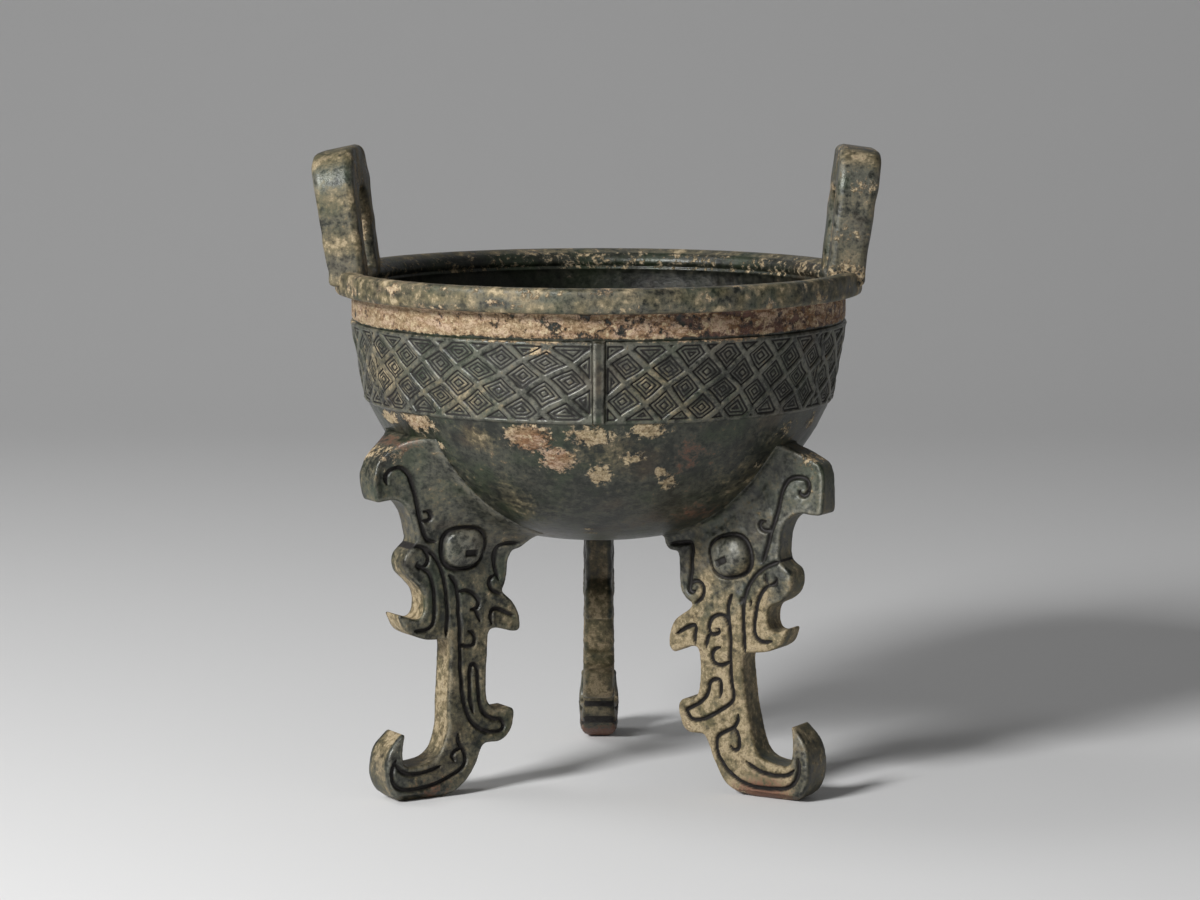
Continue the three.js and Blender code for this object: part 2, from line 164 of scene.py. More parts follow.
def is_inside(points: Array, loop: Array) -> Array:
    """Tell which points lie inside a closed loop, by counting the edges to their right.

    Args:
        points: Places in the plane, one row each.
        loop: The loop's corners, one row each.

    Returns:
        True where the count is odd.
    """
    x, y = points[:, :1], points[:, 1:]
    ax, ay = loop[:, 0], loop[:, 1]
    bx, by = np.roll(ax, -1), np.roll(ay, -1)
    rise = np.where(by == ay, 1e-18, by - ay)
    crosses = ((ay > y) != (by > y)) & (x < ax + (y - ay) * (bx - ax) / rise)
    return crosses.sum(axis=1) % 2 == 1


def resample(loop: Array, spacing: float) -> Array:
    """Space the points of a closed loop evenly along it."""
    ring = np.vstack([loop, loop[:1]])
    travelled = np.concatenate([[0.0], np.cumsum(np.linalg.norm(np.diff(ring, axis=0), axis=1))])
    count = max(8, int(travelled[-1] / spacing))
    at = np.linspace(0.0, travelled[-1], count, endpoint=False)
    return np.column_stack([np.interp(at, travelled, ring[:, axis]) for axis in (0, 1)])


def softened(loop: Array, spacing: float, rounds: int) -> Array:
    """Round a closed loop's corners by averaging each point with its two neighbours.

    Args:
        loop: The loop's corners, one row each.
        spacing: Distance between the points it is first divided into.
        rounds: How often the averaging is done.

    Returns:
        The rounded loop.
    """
    ring = resample(loop, spacing)
    for _ in range(rounds):
        ring = 0.5 * ring + 0.25 * (np.roll(ring, 1, axis=0) + np.roll(ring, -1, axis=0))
    return ring


# ---------------------------------------------------------------- meshes


@dataclass
class Skin:
    """A surface as arrays: corners, four-sided faces, and one value per corner for each named mask."""

    points: Array
    faces: Array
    masks: dict[str, Array] = field(default_factory=dict)
    caps: list[list[int]] = field(default_factory=list)


def signed_volume(points: Array, faces: Array) -> float:
    """Return the volume inside the faces, positive where they face outwards."""
    a, b, c, d = (points[faces[:, i]] for i in range(4))
    return float((np.cross(a, b) * c).sum() + (np.cross(a, c) * d).sum()) / 6.0


def make_piece(name: str, skin: Skin, material: bpy.types.Material) -> bpy.types.Object:
    """Turn a skin into an object of the vessel.

    Args:
        name: The piece's name.
        skin: Its surface.
        material: What it is dressed in.

    Returns:
        The new object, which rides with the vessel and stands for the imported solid.
    """
    faces = skin.faces
    caps = skin.caps
    if signed_volume(skin.points, faces) < 0:
        faces = faces[:, ::-1]
        caps = [cap[::-1] for cap in caps]
    mesh = bpy.data.meshes.new(name)
    mesh.from_pydata(skin.points.tolist(), [], faces.tolist() + caps)
    for mask, values in skin.masks.items():
        layer = mesh.attributes.new(mask, "FLOAT", "POINT")
        layer.data.foreach_set("value", values.astype(np.float32))
    mesh.polygons.foreach_set("use_smooth", np.ones(len(mesh.polygons), dtype=bool))
    mesh.validate()
    mesh.update()
    mesh.materials.append(material)
    piece = bpy.data.objects.new(name, mesh)
    bpy.context.scene.collection.objects.link(piece)
    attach(piece, BODY)
    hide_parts(NODE)
    LOG.info("%s: %d faces", name, len(mesh.polygons))
    return piece


def grid_faces(rows: int, columns: int, close_columns: bool = False) -> Array:
    """Number the four-sided faces of a grid of corners.

    Args:
        rows: Corners along the first parameter.
        columns: Corners along the second parameter.
        close_columns: Whether the last column joins the first.

    Returns:
        Four corner numbers per face.
    """
    number = np.arange(rows * columns).reshape(rows, columns)
    if close_columns:
        number = np.hstack([number, number[:, :1]])
    corners = (number[:-1, :-1], number[1:, :-1], number[1:, 1:], number[:-1, 1:])
    return np.stack([corner.ravel() for corner in corners], axis=1)


@dataclass
class Plate:
    """A thick plate with a free outline and holes, as a grid whose border lies exactly on the outline."""

    outline: Array
    holes: list[Array]
    step: float

    def nodes(self) -> tuple[Array, Array, Array]:
        """Lay the grid over the outline and pull its border onto it.

        A grid corner is kept where it is if it lies inside by at least SNAP of a step. Its neighbours that
        don't are moved to the nearest place on the outline, so the border follows the outline.

        Returns:
            The corners in the plane, their distance from the border, and the faces between them.
        """
        low = self.outline.min(axis=0) - 2 * self.step
        high = self.outline.max(axis=0) + 2 * self.step
        axes = [np.arange(low[axis], high[axis], self.step) for axis in (0, 1)]
        shape = (len(axes[0]), len(axes[1]))
        points = np.stack(np.meshgrid(*axes, indexing="ij"), axis=-1).reshape(-1, 2)
        loops = [self.outline, *self.holes]
        best = np.full(len(points), np.inf)
        border = np.empty_like(points)
        solid = is_inside(points, self.outline)
        for loop in loops:
            distance, place, _ = nearest_on_path(points, np.vstack([loop, loop[:1]]))
            nearer = distance < best
            best = np.where(nearer, distance, best)
            border[nearer] = place[nearer]
        for hole in self.holes:
            solid &= ~is_inside(points, hole)
        deep = solid & (best > SNAP * self.step)
        faces = grid_faces(*shape)
        faces = faces[deep[faces].any(axis=1)]
        points = np.where(deep[:, None], points, border)
        depth = np.where(deep, best, 0.0)
        used, faces = np.unique(faces, return_inverse=True)
        return points[used], depth[used], faces.reshape(-1, 4)

    def skin(
        self,
        shape: Callable[[Array, Array], tuple[Array, dict[str, Array]]],
        place: Callable[[Array, Array], Array],
        rings: int = 4,
    ) -> Skin:
        """Close the plate: two faces and the wall between their borders.

        Args:
            shape: Gives the half thickness and the masks from the corners and their distances inward.
            place: Puts corners and their sideways distances into space.
            rings: Rows of faces in the wall.

        Returns:
            The closed surface.
        """
        points, depth, faces = self.nodes()
        half, masks = shape(points, depth)
        count = len(points)
        edges = np.concatenate([faces[:, [i, (i + 1) % 4]] for i in range(4)])
        order = np.sort(edges, axis=1)
        _, first, times = np.unique(order, axis=0, return_index=True, return_counts=True)
        border = edges[first[times == 1]]
        rim, slot = np.unique(border, return_inverse=True)
        slot = slot.reshape(-1, 2)
        levels = np.linspace(1.0, -1.0, rings + 1)[1:-1]
        between = [2 * count + k * len(rim) + np.arange(len(rim)) for k in range(rings - 1)]
        number = np.stack([rim, *between, rim + count])
        start, end = slot[:, 0], slot[:, 1]
        walls = [
            np.stack([upper[end], upper[start], lower[start], lower[end]], axis=1)
            for upper, lower in zip(number, number[1:])
        ]
        plane = np.concatenate([points, points, *(points[rim] for _ in levels)])
        side = np.concatenate([half, -half, *(half[rim] * level for level in levels)])
        spread = {
            name: np.concatenate([value, value, *(value[rim] for _ in levels)])
            for name, value in masks.items()
        }
        spread["wall"] = np.concatenate([np.zeros(2 * count), np.ones(len(rim) * len(levels))])
        return Skin(place(plane, side), np.concatenate([faces, faces[:, ::-1] + count, *walls]), spread)


# ---------------------------------------------------------------- finishes


class Graph:
    """Short ways to add and join nodes."""

    def __init__(self, tree: bpy.types.NodeTree) -> None:
        """Keep the tree that nodes are added to."""
        self.tree = tree

    def node(self, kind: str, **settings: object) -> bpy.types.Node:
        """Add a node and set its options."""
        made = self.tree.nodes.new(kind)
        for key, value in settings.items():
            setattr(made, key, value)
        return made

    def join(self, source: object, target: bpy.types.NodeSocket) -> None:
        """Feed a socket from another socket, or set it to a constant."""
        if isinstance(source, bpy.types.NodeSocket):
            self.tree.links.new(source, target)
        else:
            target.default_value = source

    def math(self, operation: str, *values: object, clamp: bool = False) -> bpy.types.NodeSocket:
        """Calculate with up to three numbers or sockets."""
        made = self.node("ShaderNodeMath", operation=operation, use_clamp=clamp)
        for socket, value in zip(made.inputs, values):
            self.join(value, socket)
        return made.outputs[0]

    def mask(self, name: str) -> bpy.types.NodeSocket:
        """Read a mask stored on the mesh."""
        return self.node("ShaderNodeAttribute", attribute_name=name).outputs["Fac"]

    def noise(self, place: object, scale: float, detail: float, roughness: float) -> bpy.types.NodeSocket:
        """Add soft noise.

        Args:
            place: Where to read it.
            scale: Waves to the metre.
            detail: How many finer layers are added.
            roughness: How strong each finer layer is.

        Returns:
            The noise, about 0.3 to 0.7.
        """
        made = self.node("ShaderNodeTexNoise")
        self.join(place, made.inputs["Vector"])
        made.inputs["Scale"].default_value = scale
        made.inputs["Detail"].default_value = detail
        made.inputs["Roughness"].default_value = roughness
        return made.outputs["Fac"]

    def ramp(self, value: object, low: float, high: float) -> bpy.types.NodeSocket:
        """Rise softly from 0 to 1 between two values."""
        made = self.node("ShaderNodeMapRange", interpolation_type="SMOOTHSTEP")
        self.join(value, made.inputs["Value"])
        made.inputs["From Min"].default_value = low
        made.inputs["From Max"].default_value = high
        return made.outputs["Result"]

    def blend(
        self, share: object, first: object, second: object, mode: str = "MIX"
    ) -> bpy.types.NodeSocket:
        """Mix two colours."""
        made = self.node("ShaderNodeMix", data_type="RGBA", blend_type=mode)
        for socket, value in zip((made.inputs[0], made.inputs[6], made.inputs[7]), (share, first, second)):
            self.join((*value, 1.0) if isinstance(value, tuple) else value, socket)
        return made.outputs[2]

    def dimmed(self, colour: object, filter_: Colour) -> bpy.types.NodeSocket:
        """Multiply a colour by another."""
        return self.blend(1.0, colour, filter_, "MULTIPLY")

    def crumbled(self, amount: object, grain: object, spread: float, sharp: float) -> bpy.types.NodeSocket:
        """Break the edge of a mask with a noise: clamp((mask + (noise - 1/2) spread - 1/2) sharp + 1/2)."""
        shifted = self.math("MULTIPLY_ADD", self.math("SUBTRACT", grain, 0.5), spread, amount)
        return self.math("MULTIPLY_ADD", self.math("SUBTRACT", shifted, 0.5), sharp, 0.5, clamp=True)


@dataclass(frozen=True)
class Cloudiness:
    """One noise: waves to the metre, finer layers, their strength, and whether it lies in level streaks."""

    scale: float
    detail: float
    roughness: float
    level: bool = False


LEVEL_SQUASH = (1.0, 1.0, 2.6)
CLOUDS = {
    "tint": Cloudiness(55.0, 4.0, 0.6),
    "cloud": Cloudiness(130.0, 6.0, 0.65),
    "grain": Cloudiness(520.0, 6.0, 0.7),
    "dust": Cloudiness(1500.0, 3.0, 0.6),
    "streak": Cloudiness(150.0, 5.0, 0.65, level=True),
    "crack": Cloudiness(420.0, 5.0, 0.75, level=True),
}


@dataclass(frozen=True)
class Patina:
    """Colours of old bronze that lay in the ground, linear, from the metal outward."""

    dark: Colour = (0.013, 0.015, 0.010)
    grey: Colour = (0.058, 0.060, 0.043)
    green: Colour = (0.029, 0.043, 0.020)
    brown: Colour = (0.056, 0.037, 0.021)
    olive: Colour = (0.120, 0.098, 0.042)
    tan: Colour = (0.275, 0.21, 0.112)
    pale: Colour = (0.52, 0.42, 0.27)
    pink: Colour = (0.48, 0.345, 0.245)
    orange: Colour = (0.22, 0.112, 0.050)
    red: Colour = (0.15, 0.058, 0.034)
    black: Colour = (0.0075, 0.0055, 0.0045)
    # Light colour of burnished metal, also used as painted highlight on lit edges, groove rims and the eyes'
    # domes.
    worn_and_sheen: Colour = (0.26, 0.25, 0.205)
    crumble: float = 2.6
    film_crumble: float = 2.0

    def noises(self, g: Graph) -> dict[str, object]:
        """Add the shared noises, read at the object's own coordinates, with the crumbs mixed from two of them.

        Args:
            g: The graph to add to.

        Returns:
            The noises by name.
        """
        place = g.node("ShaderNodeTexCoord").outputs["Object"]
        squash = g.node("ShaderNodeVectorMath", operation="MULTIPLY")
        g.join(place, squash.inputs[0])
        squash.inputs[1].default_value = LEVEL_SQUASH
        level = squash.outputs["Vector"]
        made = {
            name: g.noise(level if cloud.level else place, cloud.scale, cloud.detail, cloud.roughness)
            for name, cloud in CLOUDS.items()
        }
        made["crumbs"] = g.math("MULTIPLY_ADD", made["grain"], 0.55, g.math("MULTIPLY", made["cloud"], 0.45))
        return made

    def metal(self, g: Graph, noises: dict[str, object], wear: object) -> object:
        """Paint the bare patina: dark and grey clouds, green and brown tints, speckles, and a light colour
        where hands burnished the metal and where a painted highlight lies.

        Args:
            g: The graph to add to.
            noises: The shared noises by name.
            wear: Mask of the places that hands have burnished, and of the edges and rims lit by a painted
                highlight.

        Returns:
            The colour.
        """
        mottle = g.math("MULTIPLY_ADD", noises["cloud"], 0.6, g.math("MULTIPLY", noises["grain"], 0.4))
        base = g.blend(g.ramp(mottle, 0.40, 0.62), self.dark, self.grey)
        base = g.blend(g.math("MULTIPLY", g.ramp(noises["tint"], 0.48, 0.66), 0.75), base, self.green)
        base = g.blend(g.math("MULTIPLY", g.ramp(noises["tint"], 0.46, 0.30), 0.55), base, self.brown)
        base = g.blend(g.ramp(noises["grain"], 0.50, 0.34), base, g.dimmed(base, (0.45, 0.48, 0.45)))
        # Real rubbing and painted highlight: the light colour goes where the mask is set, on the lighter
        # mottles.
        polished_and_sheen = g.math("MULTIPLY", wear, g.ramp(mottle, 0.36, 0.58))
        return g.blend(polished_and_sheen, base, self.worn_and_sheen)

    def earth(self, g: Graph, noises: dict[str, object], warm: object) -> object:
        """Paint the thick crust: pale grains on tan, streaked pink, orange and brown where it is warm.

        Args:
            g: The graph to add to.
            noises: The shared noises by name.
            warm: Mask of the warm places.

        Returns:
            The colour.
        """
        sand = g.blend(g.ramp(noises["grain"], 0.36, 0.62), self.tan, self.pale)
        hot = g.blend(g.ramp(noises["streak"], 0.43, 0.60), self.orange, self.pink)
        hot = g.blend(g.ramp(noises["grain"], 0.52, 0.64), hot, self.pale)
        mixed = g.math("MULTIPLY_ADD", g.math("SUBTRACT", noises["streak"], 0.5), 1.4, warm, clamp=True)
        sand = g.blend(mixed, sand, hot)
        deep = g.dimmed(sand, (0.34, 0.27, 0.20))
        sand = g.blend(g.math("MULTIPLY", g.ramp(noises["crack"], 0.46, 0.36), 0.8), sand, deep)
        return g.blend(g.ramp(noises["dust"], 0.56, 0.38), sand, g.dimmed(sand, (0.62, 0.58, 0.50)))

    def thin_earth(self, g: Graph, noises: dict[str, object], film: object) -> object:
        """Paint the thin film of earth: olive, tan where it is thick, chalky crumbs and darker specks.

        Args:
            g: The graph to add to.
            noises: The shared noises by name.
            film: Mask of the film.

        Returns:
            The colour.
        """
        sandy = g.ramp(g.math("MULTIPLY_ADD", film, 0.25, noises["cloud"]), 0.52, 0.80)
        thin = g.blend(sandy, self.olive, self.tan)
        chalky = g.ramp(g.math("MULTIPLY_ADD", film, 0.16, noises["crumbs"]), 0.60, 0.74)
        thin = g.blend(g.math("MULTIPLY", chalky, 0.8), thin, self.pale)
        return g.blend(g.ramp(noises["grain"], 0.46, 0.32), thin, g.dimmed(thin, (0.55, 0.50, 0.42)))

    def group(self) -> bpy.types.NodeTree:
        """Build the node group that every bronze finish uses.

        Returns:
            A group with the masks as inputs, and colour, roughness and relief height as outputs.
        """
        tree = bpy.data.node_groups.new("patina", "ShaderNodeTree")
        for name in MASKS:
            tree.interface.new_socket(name.title(), in_out="INPUT", socket_type="NodeSocketFloat")
        tree.interface.new_socket("Color", in_out="OUTPUT", socket_type="NodeSocketColor")
        tree.interface.new_socket("Roughness", in_out="OUTPUT", socket_type="NodeSocketFloat")
        tree.interface.new_socket("Height", in_out="OUTPUT", socket_type="NodeSocketFloat")
        g = Graph(tree)
        masks = g.node("NodeGroupInput").outputs
        out = g.node("NodeGroupOutput").inputs
        noises = self.noises(g)
        grain, dust, crumbs = noises["grain"], noises["dust"], noises["crumbs"]

        base = self.metal(g, noises, masks["Wear"])
        dusty = g.math("MULTIPLY_ADD", masks["Film"], 0.7, 0.22)
        specks = g.math("MULTIPLY", g.ramp(grain, 0.57, 0.66), dusty)
        base = g.blend(specks, base, self.olive)

        film = g.crumbled(masks["Film"], crumbs, self.film_crumble, 1.5)
        base = g.blend(g.math("MULTIPLY", film, 0.9), base, self.thin_earth(g, noises, masks["Film"]))

        red = g.crumbled(masks["Red"], crumbs, self.crumble, 3.0)
        base = g.blend(g.math("MULTIPLY", red, 0.85), base, self.red)

        crust = g.crumbled(masks["Crust"], crumbs, self.crumble, 6.0)
        rim = g.math("MULTIPLY", g.crumbled(masks["Crust"], crumbs, self.crumble, 3.0), 0.55)
        base = g.blend(rim, base, g.dimmed(base, (0.35, 0.32, 0.28)))
        base = g.blend(crust, base, self.earth(g, noises, masks["Warm"]))

        pores = g.math("MULTIPLY", g.ramp(dust, 0.60, 0.68), 0.55)
        base = g.blend(pores, base, g.dimmed(base, (0.3, 0.3, 0.28)))
        base = g.blend(masks["Carve"], base, self.black)
        # Painted shade: the colour is darkened where the shade mask is set.
        base = g.blend(masks["Shade"], base, g.dimmed(base, (0.25, 0.23, 0.23)))
        g.join(base, out["Color"])

        rough = g.math("MULTIPLY_ADD", grain, 0.35, 0.20)
        rough = g.math("MULTIPLY_ADD", masks["Wear"], 0.08, rough)
        rough = g.math("MULTIPLY_ADD", g.math("MAXIMUM", crust, film), 0.35, rough)
        rough = g.math("MULTIPLY_ADD", masks["Carve"], 0.25, rough, clamp=True)
        g.join(rough, out["Roughness"])

        height = g.math("MULTIPLY_ADD", grain, 0.45, g.math("MULTIPLY", dust, 0.14))
        height = g.math("MULTIPLY_ADD", crust, g.math("MULTIPLY_ADD", dust, 0.6, 0.45), height)
        g.join(height, out["Height"])
        return tree


class Pattern(Enum):
    """What is cut into a piece, beyond its mesh."""

    PLAIN = "plain"
    NESTED = "nested"


@dataclass(frozen=True)
class Finish:
    """Dress of one kind of piece, on top of the shared patina."""

    name: str
    relief: float = 0.35
    metal: float = 0.25
    pattern: Pattern = Pattern.PLAIN
    line_pitch: float = 1.07
    line_start: float = 0.3

    def material(self, patina: bpy.types.NodeTree) -> bpy.types.Material:
        """Build the material.

        Args:
            patina: The shared node group.

        Returns:
            The finished material, which reads the masks stored on the mesh.
        """
        made = bpy.data.materials.new(self.name)
        made.use_nodes = True
        g = Graph(made.node_tree)
        shader = made.node_tree.nodes["Principled BSDF"]
        shader.inputs["Metallic"].default_value = self.metal
        shader.inputs["IOR"].default_value = 1.6
        coat = g.node("ShaderNodeGroup", node_tree=patina)
        for name in MASKS:
            if name != "carve":
                g.join(g.mask(name), coat.inputs[name.title()])
        carve = g.mask("carve")
        if self.pattern is Pattern.NESTED:
            inset = g.mask("inset")
            past = g.math("SUBTRACT", inset, self.line_start)
            turn = g.math("MULTIPLY", past, 2.0 * math.pi / self.line_pitch)
            sunk = g.ramp(inset, -0.15, 0.05)
            lines = g.math("MULTIPLY", g.ramp(g.math("COSINE", turn), -0.15, 0.45), sunk)
            carve = g.math("MAXIMUM", carve, lines)
        g.join(carve, coat.inputs["Carve"])
        g.join(coat.outputs["Color"], shader.inputs["Base Color"])
        g.join(coat.outputs["Roughness"], shader.inputs["Roughness"])
        raised = g.node("ShaderNodeBump")
        raised.inputs["Strength"].default_value = 1.0
        raised.inputs["Distance"].default_value = self.relief * MM
        g.join(coat.outputs["Height"], raised.inputs["Height"])
        g.join(raised.outputs["Normal"], shader.inputs["Normal"])
        return made


# ---------------------------------------------------------------- where the earth clings


@dataclass(frozen=True)
class Patch:
    """An oval patch on the bowl: its mask, direction, height, reach in degrees and in mm, and strength."""

    mask: str
    azimuth: float
    height: float
    wide: float
    tall: float
    strength: float = 1.0

    def value(self, azimuth: Array, height: Array) -> Array:
        """Return the patch's strength at each place, a bell over the oval."""
        around = ((azimuth - self.azimuth + 180.0) % 360.0 - 180.0) / self.wide
        above = (height - self.height) / self.tall
        return self.strength * np.exp(-(around**2) - above**2)


BOWL_PATCHES = (
    Patch("crust", -107.5, 116.5, 6.5, 4.5, 1.05),
    Patch("crust", -101.0, 109.0, 5.0, 4.5, 1.0),
    Patch("warm", -104.5, 112.5, 8.0, 8.0, 1.7),
    Patch("crust", -92.5, 117.0, 6.5, 3.8, 0.78),
    Patch("crust", -78.5, 119.0, 5.5, 3.6, 0.82),
    Patch("crust", -80.5, 110.5, 4.5, 3.0, 0.66),
    Patch("crust", -90.0, 105.0, 3.6, 3.8, 0.82),
    Patch("crust", -73.0, 105.5, 2.6, 2.2, 0.75),
    Patch("crust", -70.0, 101.5, 3.6, 2.6, 0.76),
    Patch("crust", -140.0, 118.5, 7.0, 3.4, 0.95),
    Patch("warm", -141.0, 118.0, 9.0, 4.0, 0.6),
    Patch("crust", -154.0, 118.5, 7.0, 2.4, 0.75),
    Patch("crust", -135.0, 112.0, 2.0, 2.4, 0.66),
    Patch("crust", -143.0, 91.0, 6.0, 2.4, 0.78),
    Patch("crust", -40.0, 106.0, 3.5, 4.0, 0.56),
    Patch("crust", -36.0, 116.0, 4.0, 3.0, 0.56),
    Patch("crust", -22.0, 117.0, 4.0, 3.0, 0.66),
    Patch("crust", -94.0, 84.5, 4.0, 2.0, 0.55),
    Patch("film", -118.0, 95.0, 9.0, 7.0, 0.42),
    Patch("film", -121.0, 116.0, 6.0, 4.0, 0.5),
    Patch("film", -145.0, 103.0, 13.0, 10.0, 0.42),
    Patch("film", -86.0, 112.0, 12.0, 8.0, 0.36),
    Patch("film", -40.0, 100.0, 14.0, 14.0, 0.34),
    Patch("red", -66.0, 110.0, 9.0, 9.0, 0.33),
    Patch("red", -50.0, 89.0, 14.0, 5.0, 0.44),
    Patch("crust", 8.0, 113.0, 9.0, 5.5, 0.8),
    Patch("crust", 46.0, 117.0, 13.0, 4.0, 0.85),
    Patch("warm", 46.0, 116.0, 14.0, 6.0, 0.8),
    Patch("crust", 68.0, 104.0, 6.0, 5.0, 0.72),
    Patch("film", 30.0, 102.0, 20.0, 12.0, 0.42),
    Patch("crust", 118.0, 115.0, 9.0, 5.5, 0.85),
    Patch("crust", 133.0, 104.0, 5.0, 4.0, 0.7),
    Patch("red", 120.0, 108.0, 16.0, 8.0, 0.42),
    Patch("crust", 168.0, 116.0, 10.0, 4.0, 0.78),
    Patch("film", 160.0, 100.0, 16.0, 12.0, 0.4),
)


def bowl_masks(azimuth: Array, height: Array, patches: tuple[Patch, ...]) -> dict[str, Array]:
    """Gather the masks of all patches: the strongest patch wins in each place.

    Args:
        azimuth: Direction of each place in degrees.
        height: Height of each place.
        patches: The patches to gather.

    Returns:
        Every mask by name.
    """
    masks = {name: np.zeros(len(azimuth)) for name in MASKS}
    for patch in patches:
        masks[patch.mask] = np.maximum(masks[patch.mask], patch.value(azimuth, height))
    return masks


# ---------------------------------------------------------------- the bowl


@dataclass
class Bowl:
    """The cast bowl: lip, neck, the wall behind the band, belly and inside, in millimetres."""

    rim_radius: float = 82.5
    rim_top: float = 161.9
    lip_height: float = 7.5
    neck_radius: float = 77.2
    band_top: float = 145.9
    band_bottom: float = 121.0
    band_top_radius: float = 77.9
    band_bottom_radius: float = 73.6
    wall: float = 3.6
    belly_radius: float = 82.0
    belly_depth: float = 80.0
    belly_centre: float = 157.5
    fullness: float = 2.766
    fall: float = 1.6
    bead_radius: float = 72.8
    columns: int = 560

    def belly_height(self, r: Array, inset: float = 0.0) -> Array:
        """Give the belly's height at a radius: centre - depth (1 - (r / radius)^fullness)^(1 / fall)."""
        share = 1.0 - np.minimum(1.0, np.abs(r) / (self.belly_radius - inset)) ** self.fullness
        return self.belly_centre - (self.belly_depth - inset) * share ** (1.0 / self.fall)

    def belly_reach(self, z: Array, inset: float = 0.0) -> Array:
        """Give the belly's radius at a height, the formula above turned round."""
        share = ((self.belly_centre - z) / (self.belly_depth - inset)) ** self.fall
        return (self.belly_radius - inset) * (1.0 - share) ** (1.0 / self.fullness)

    def band_radius(self, z: Array) -> Array:
        """Give the radius of the band's ribbons at a height, a straight slope."""
        rise = (z - self.band_bottom) / (self.band_top - self.band_bottom)
        return self.band_bottom_radius + rise * (self.band_top_radius - self.band_bottom_radius)

    def belly_rows(self, top: float, inset: float, rows: int) -> Array:
        """Space the belly's profile from the pole to a height, closer where it turns up.

        Args:
            top: Height where the profile ends.
            inset: Distance inside the outer surface.
            rows: Number of places.

        Returns:
            Radius and height of each place.
        """
        reach = float(self.belly_reach(np.array(top), inset))
        r = reach * np.sin(np.linspace(0.0, math.pi / 2, rows))
        return np.column_stack([r, self.belly_height(r, inset)])

    def inner_row(self) -> int:
        """Give the number of the row where the lip's level top ends and the inside begins."""
        line = self.profile()
        after_top = np.arange(len(line)) > line[:, 1].argmax()
        return int(np.argmax(after_top & (line[:, 0] < self.bead_radius + 2.0)))

    def profile(self) -> Array:
        """Trace the bowl's section from the pole below, over the lip, to the pole inside.

        Returns:
            Radius and height of each row of corners.
        """
        top, lip = self.rim_top, self.rim_top - self.lip_height
        rim, neck = self.rim_radius, self.neck_radius
        bead, inner = self.bead_radius, neck - self.wall
        lip_line = [
            (neck - 0.15, self.band_top + 1.2), (neck - 0.1, lip - 3.5), (neck, lip - 1.2),
            (neck + 0.6, lip - 0.35), (neck + 1.8, lip), (rim - 1.6, lip + 0.05), (rim - 0.6, lip + 0.3),
            (rim - 0.12, lip + 1.1), (rim, lip + 2.4), (rim, top - 2.6), (rim - 0.15, top - 1.1),
            (rim - 0.7, top - 0.3), (rim - 1.8, top - 0.02), (rim - 4.6, top - 0.05),
            (bead + 2.6, top - 0.9), (bead + 0.9, top - 2.0), (bead + 0.1, top - 3.4),
            (bead + 0.2, top - 4.6), (bead + 0.8, top - 5.4), (inner - 0.4, top - 6.2), (inner, top - 8.0),
            (inner, self.band_top + 1.0),
        ]
        behind = [
            (self.band_bottom_radius - 0.6, self.band_bottom + 0.15),
            (self.band_bottom_radius - 0.9, self.band_bottom + 0.9),
            (self.band_top_radius - 1.6, self.band_top - 1.0),
            (self.neck_radius - 0.4, self.band_top + 0.2),
        ]
        inside = self.belly_rows(self.band_bottom, self.wall, 40)[::-1]
        return np.vstack([self.belly_rows(self.band_bottom, 0.0, 62), behind, spline(lip_line, 3), inside])

    def skin(self) -> Skin:
        """Turn the section round the axis, with a soft unevenness of the casting.

        Returns:
            The closed surface: x = r cos a, y = r sin a, moved along r by waves a tenth of a millimetre
            high and by the crust's thickness.
        """
        line = self.profile()
        poles = line[:, 0] < 1e-6
        r = np.repeat(np.where(poles, POLE, line[:, 0])[:, None], self.columns, axis=1)
        z = np.repeat(line[:, 1:], self.columns, axis=1)
        around = np.linspace(-math.pi, math.pi, self.columns, endpoint=False)
        turn = np.repeat(around[None], len(line), axis=0)
        points = np.stack([r * np.cos(turn), r * np.sin(turn), z], axis=-1).reshape(-1, 3)
        r, z, turn = r.ravel(), z.ravel(), turn.ravel()
        azimuth = np.degrees(turn)
        masks = self.dress(azimuth, z)
        uneven = 0.10 * waves(points, 16.0, 3) + 0.05 * waves(points, 5.0, 4) - 0.12
        below_lip = z < self.rim_top - self.lip_height - 1.0
        thick = 0.25 * smoothstep(0.3, 0.7, masks["crust"] + 0.25 * waves(points, 4.0, 5)) * below_lip
        free = np.where(r > 2.0, 1.0, 0.0)
        moved = r + (uneven + thick) * free
        points[:, 0] = moved * np.cos(turn)
        points[:, 1] = moved * np.sin(turn)
        rows = len(line)
        faces = grid_faces(rows, self.columns, close_columns=True)
        first = list(range(self.columns))
        last = list(range((rows - 1) * self.columns, rows * self.columns))
        return Skin(points * MM, faces, masks, [first, last[::-1]])

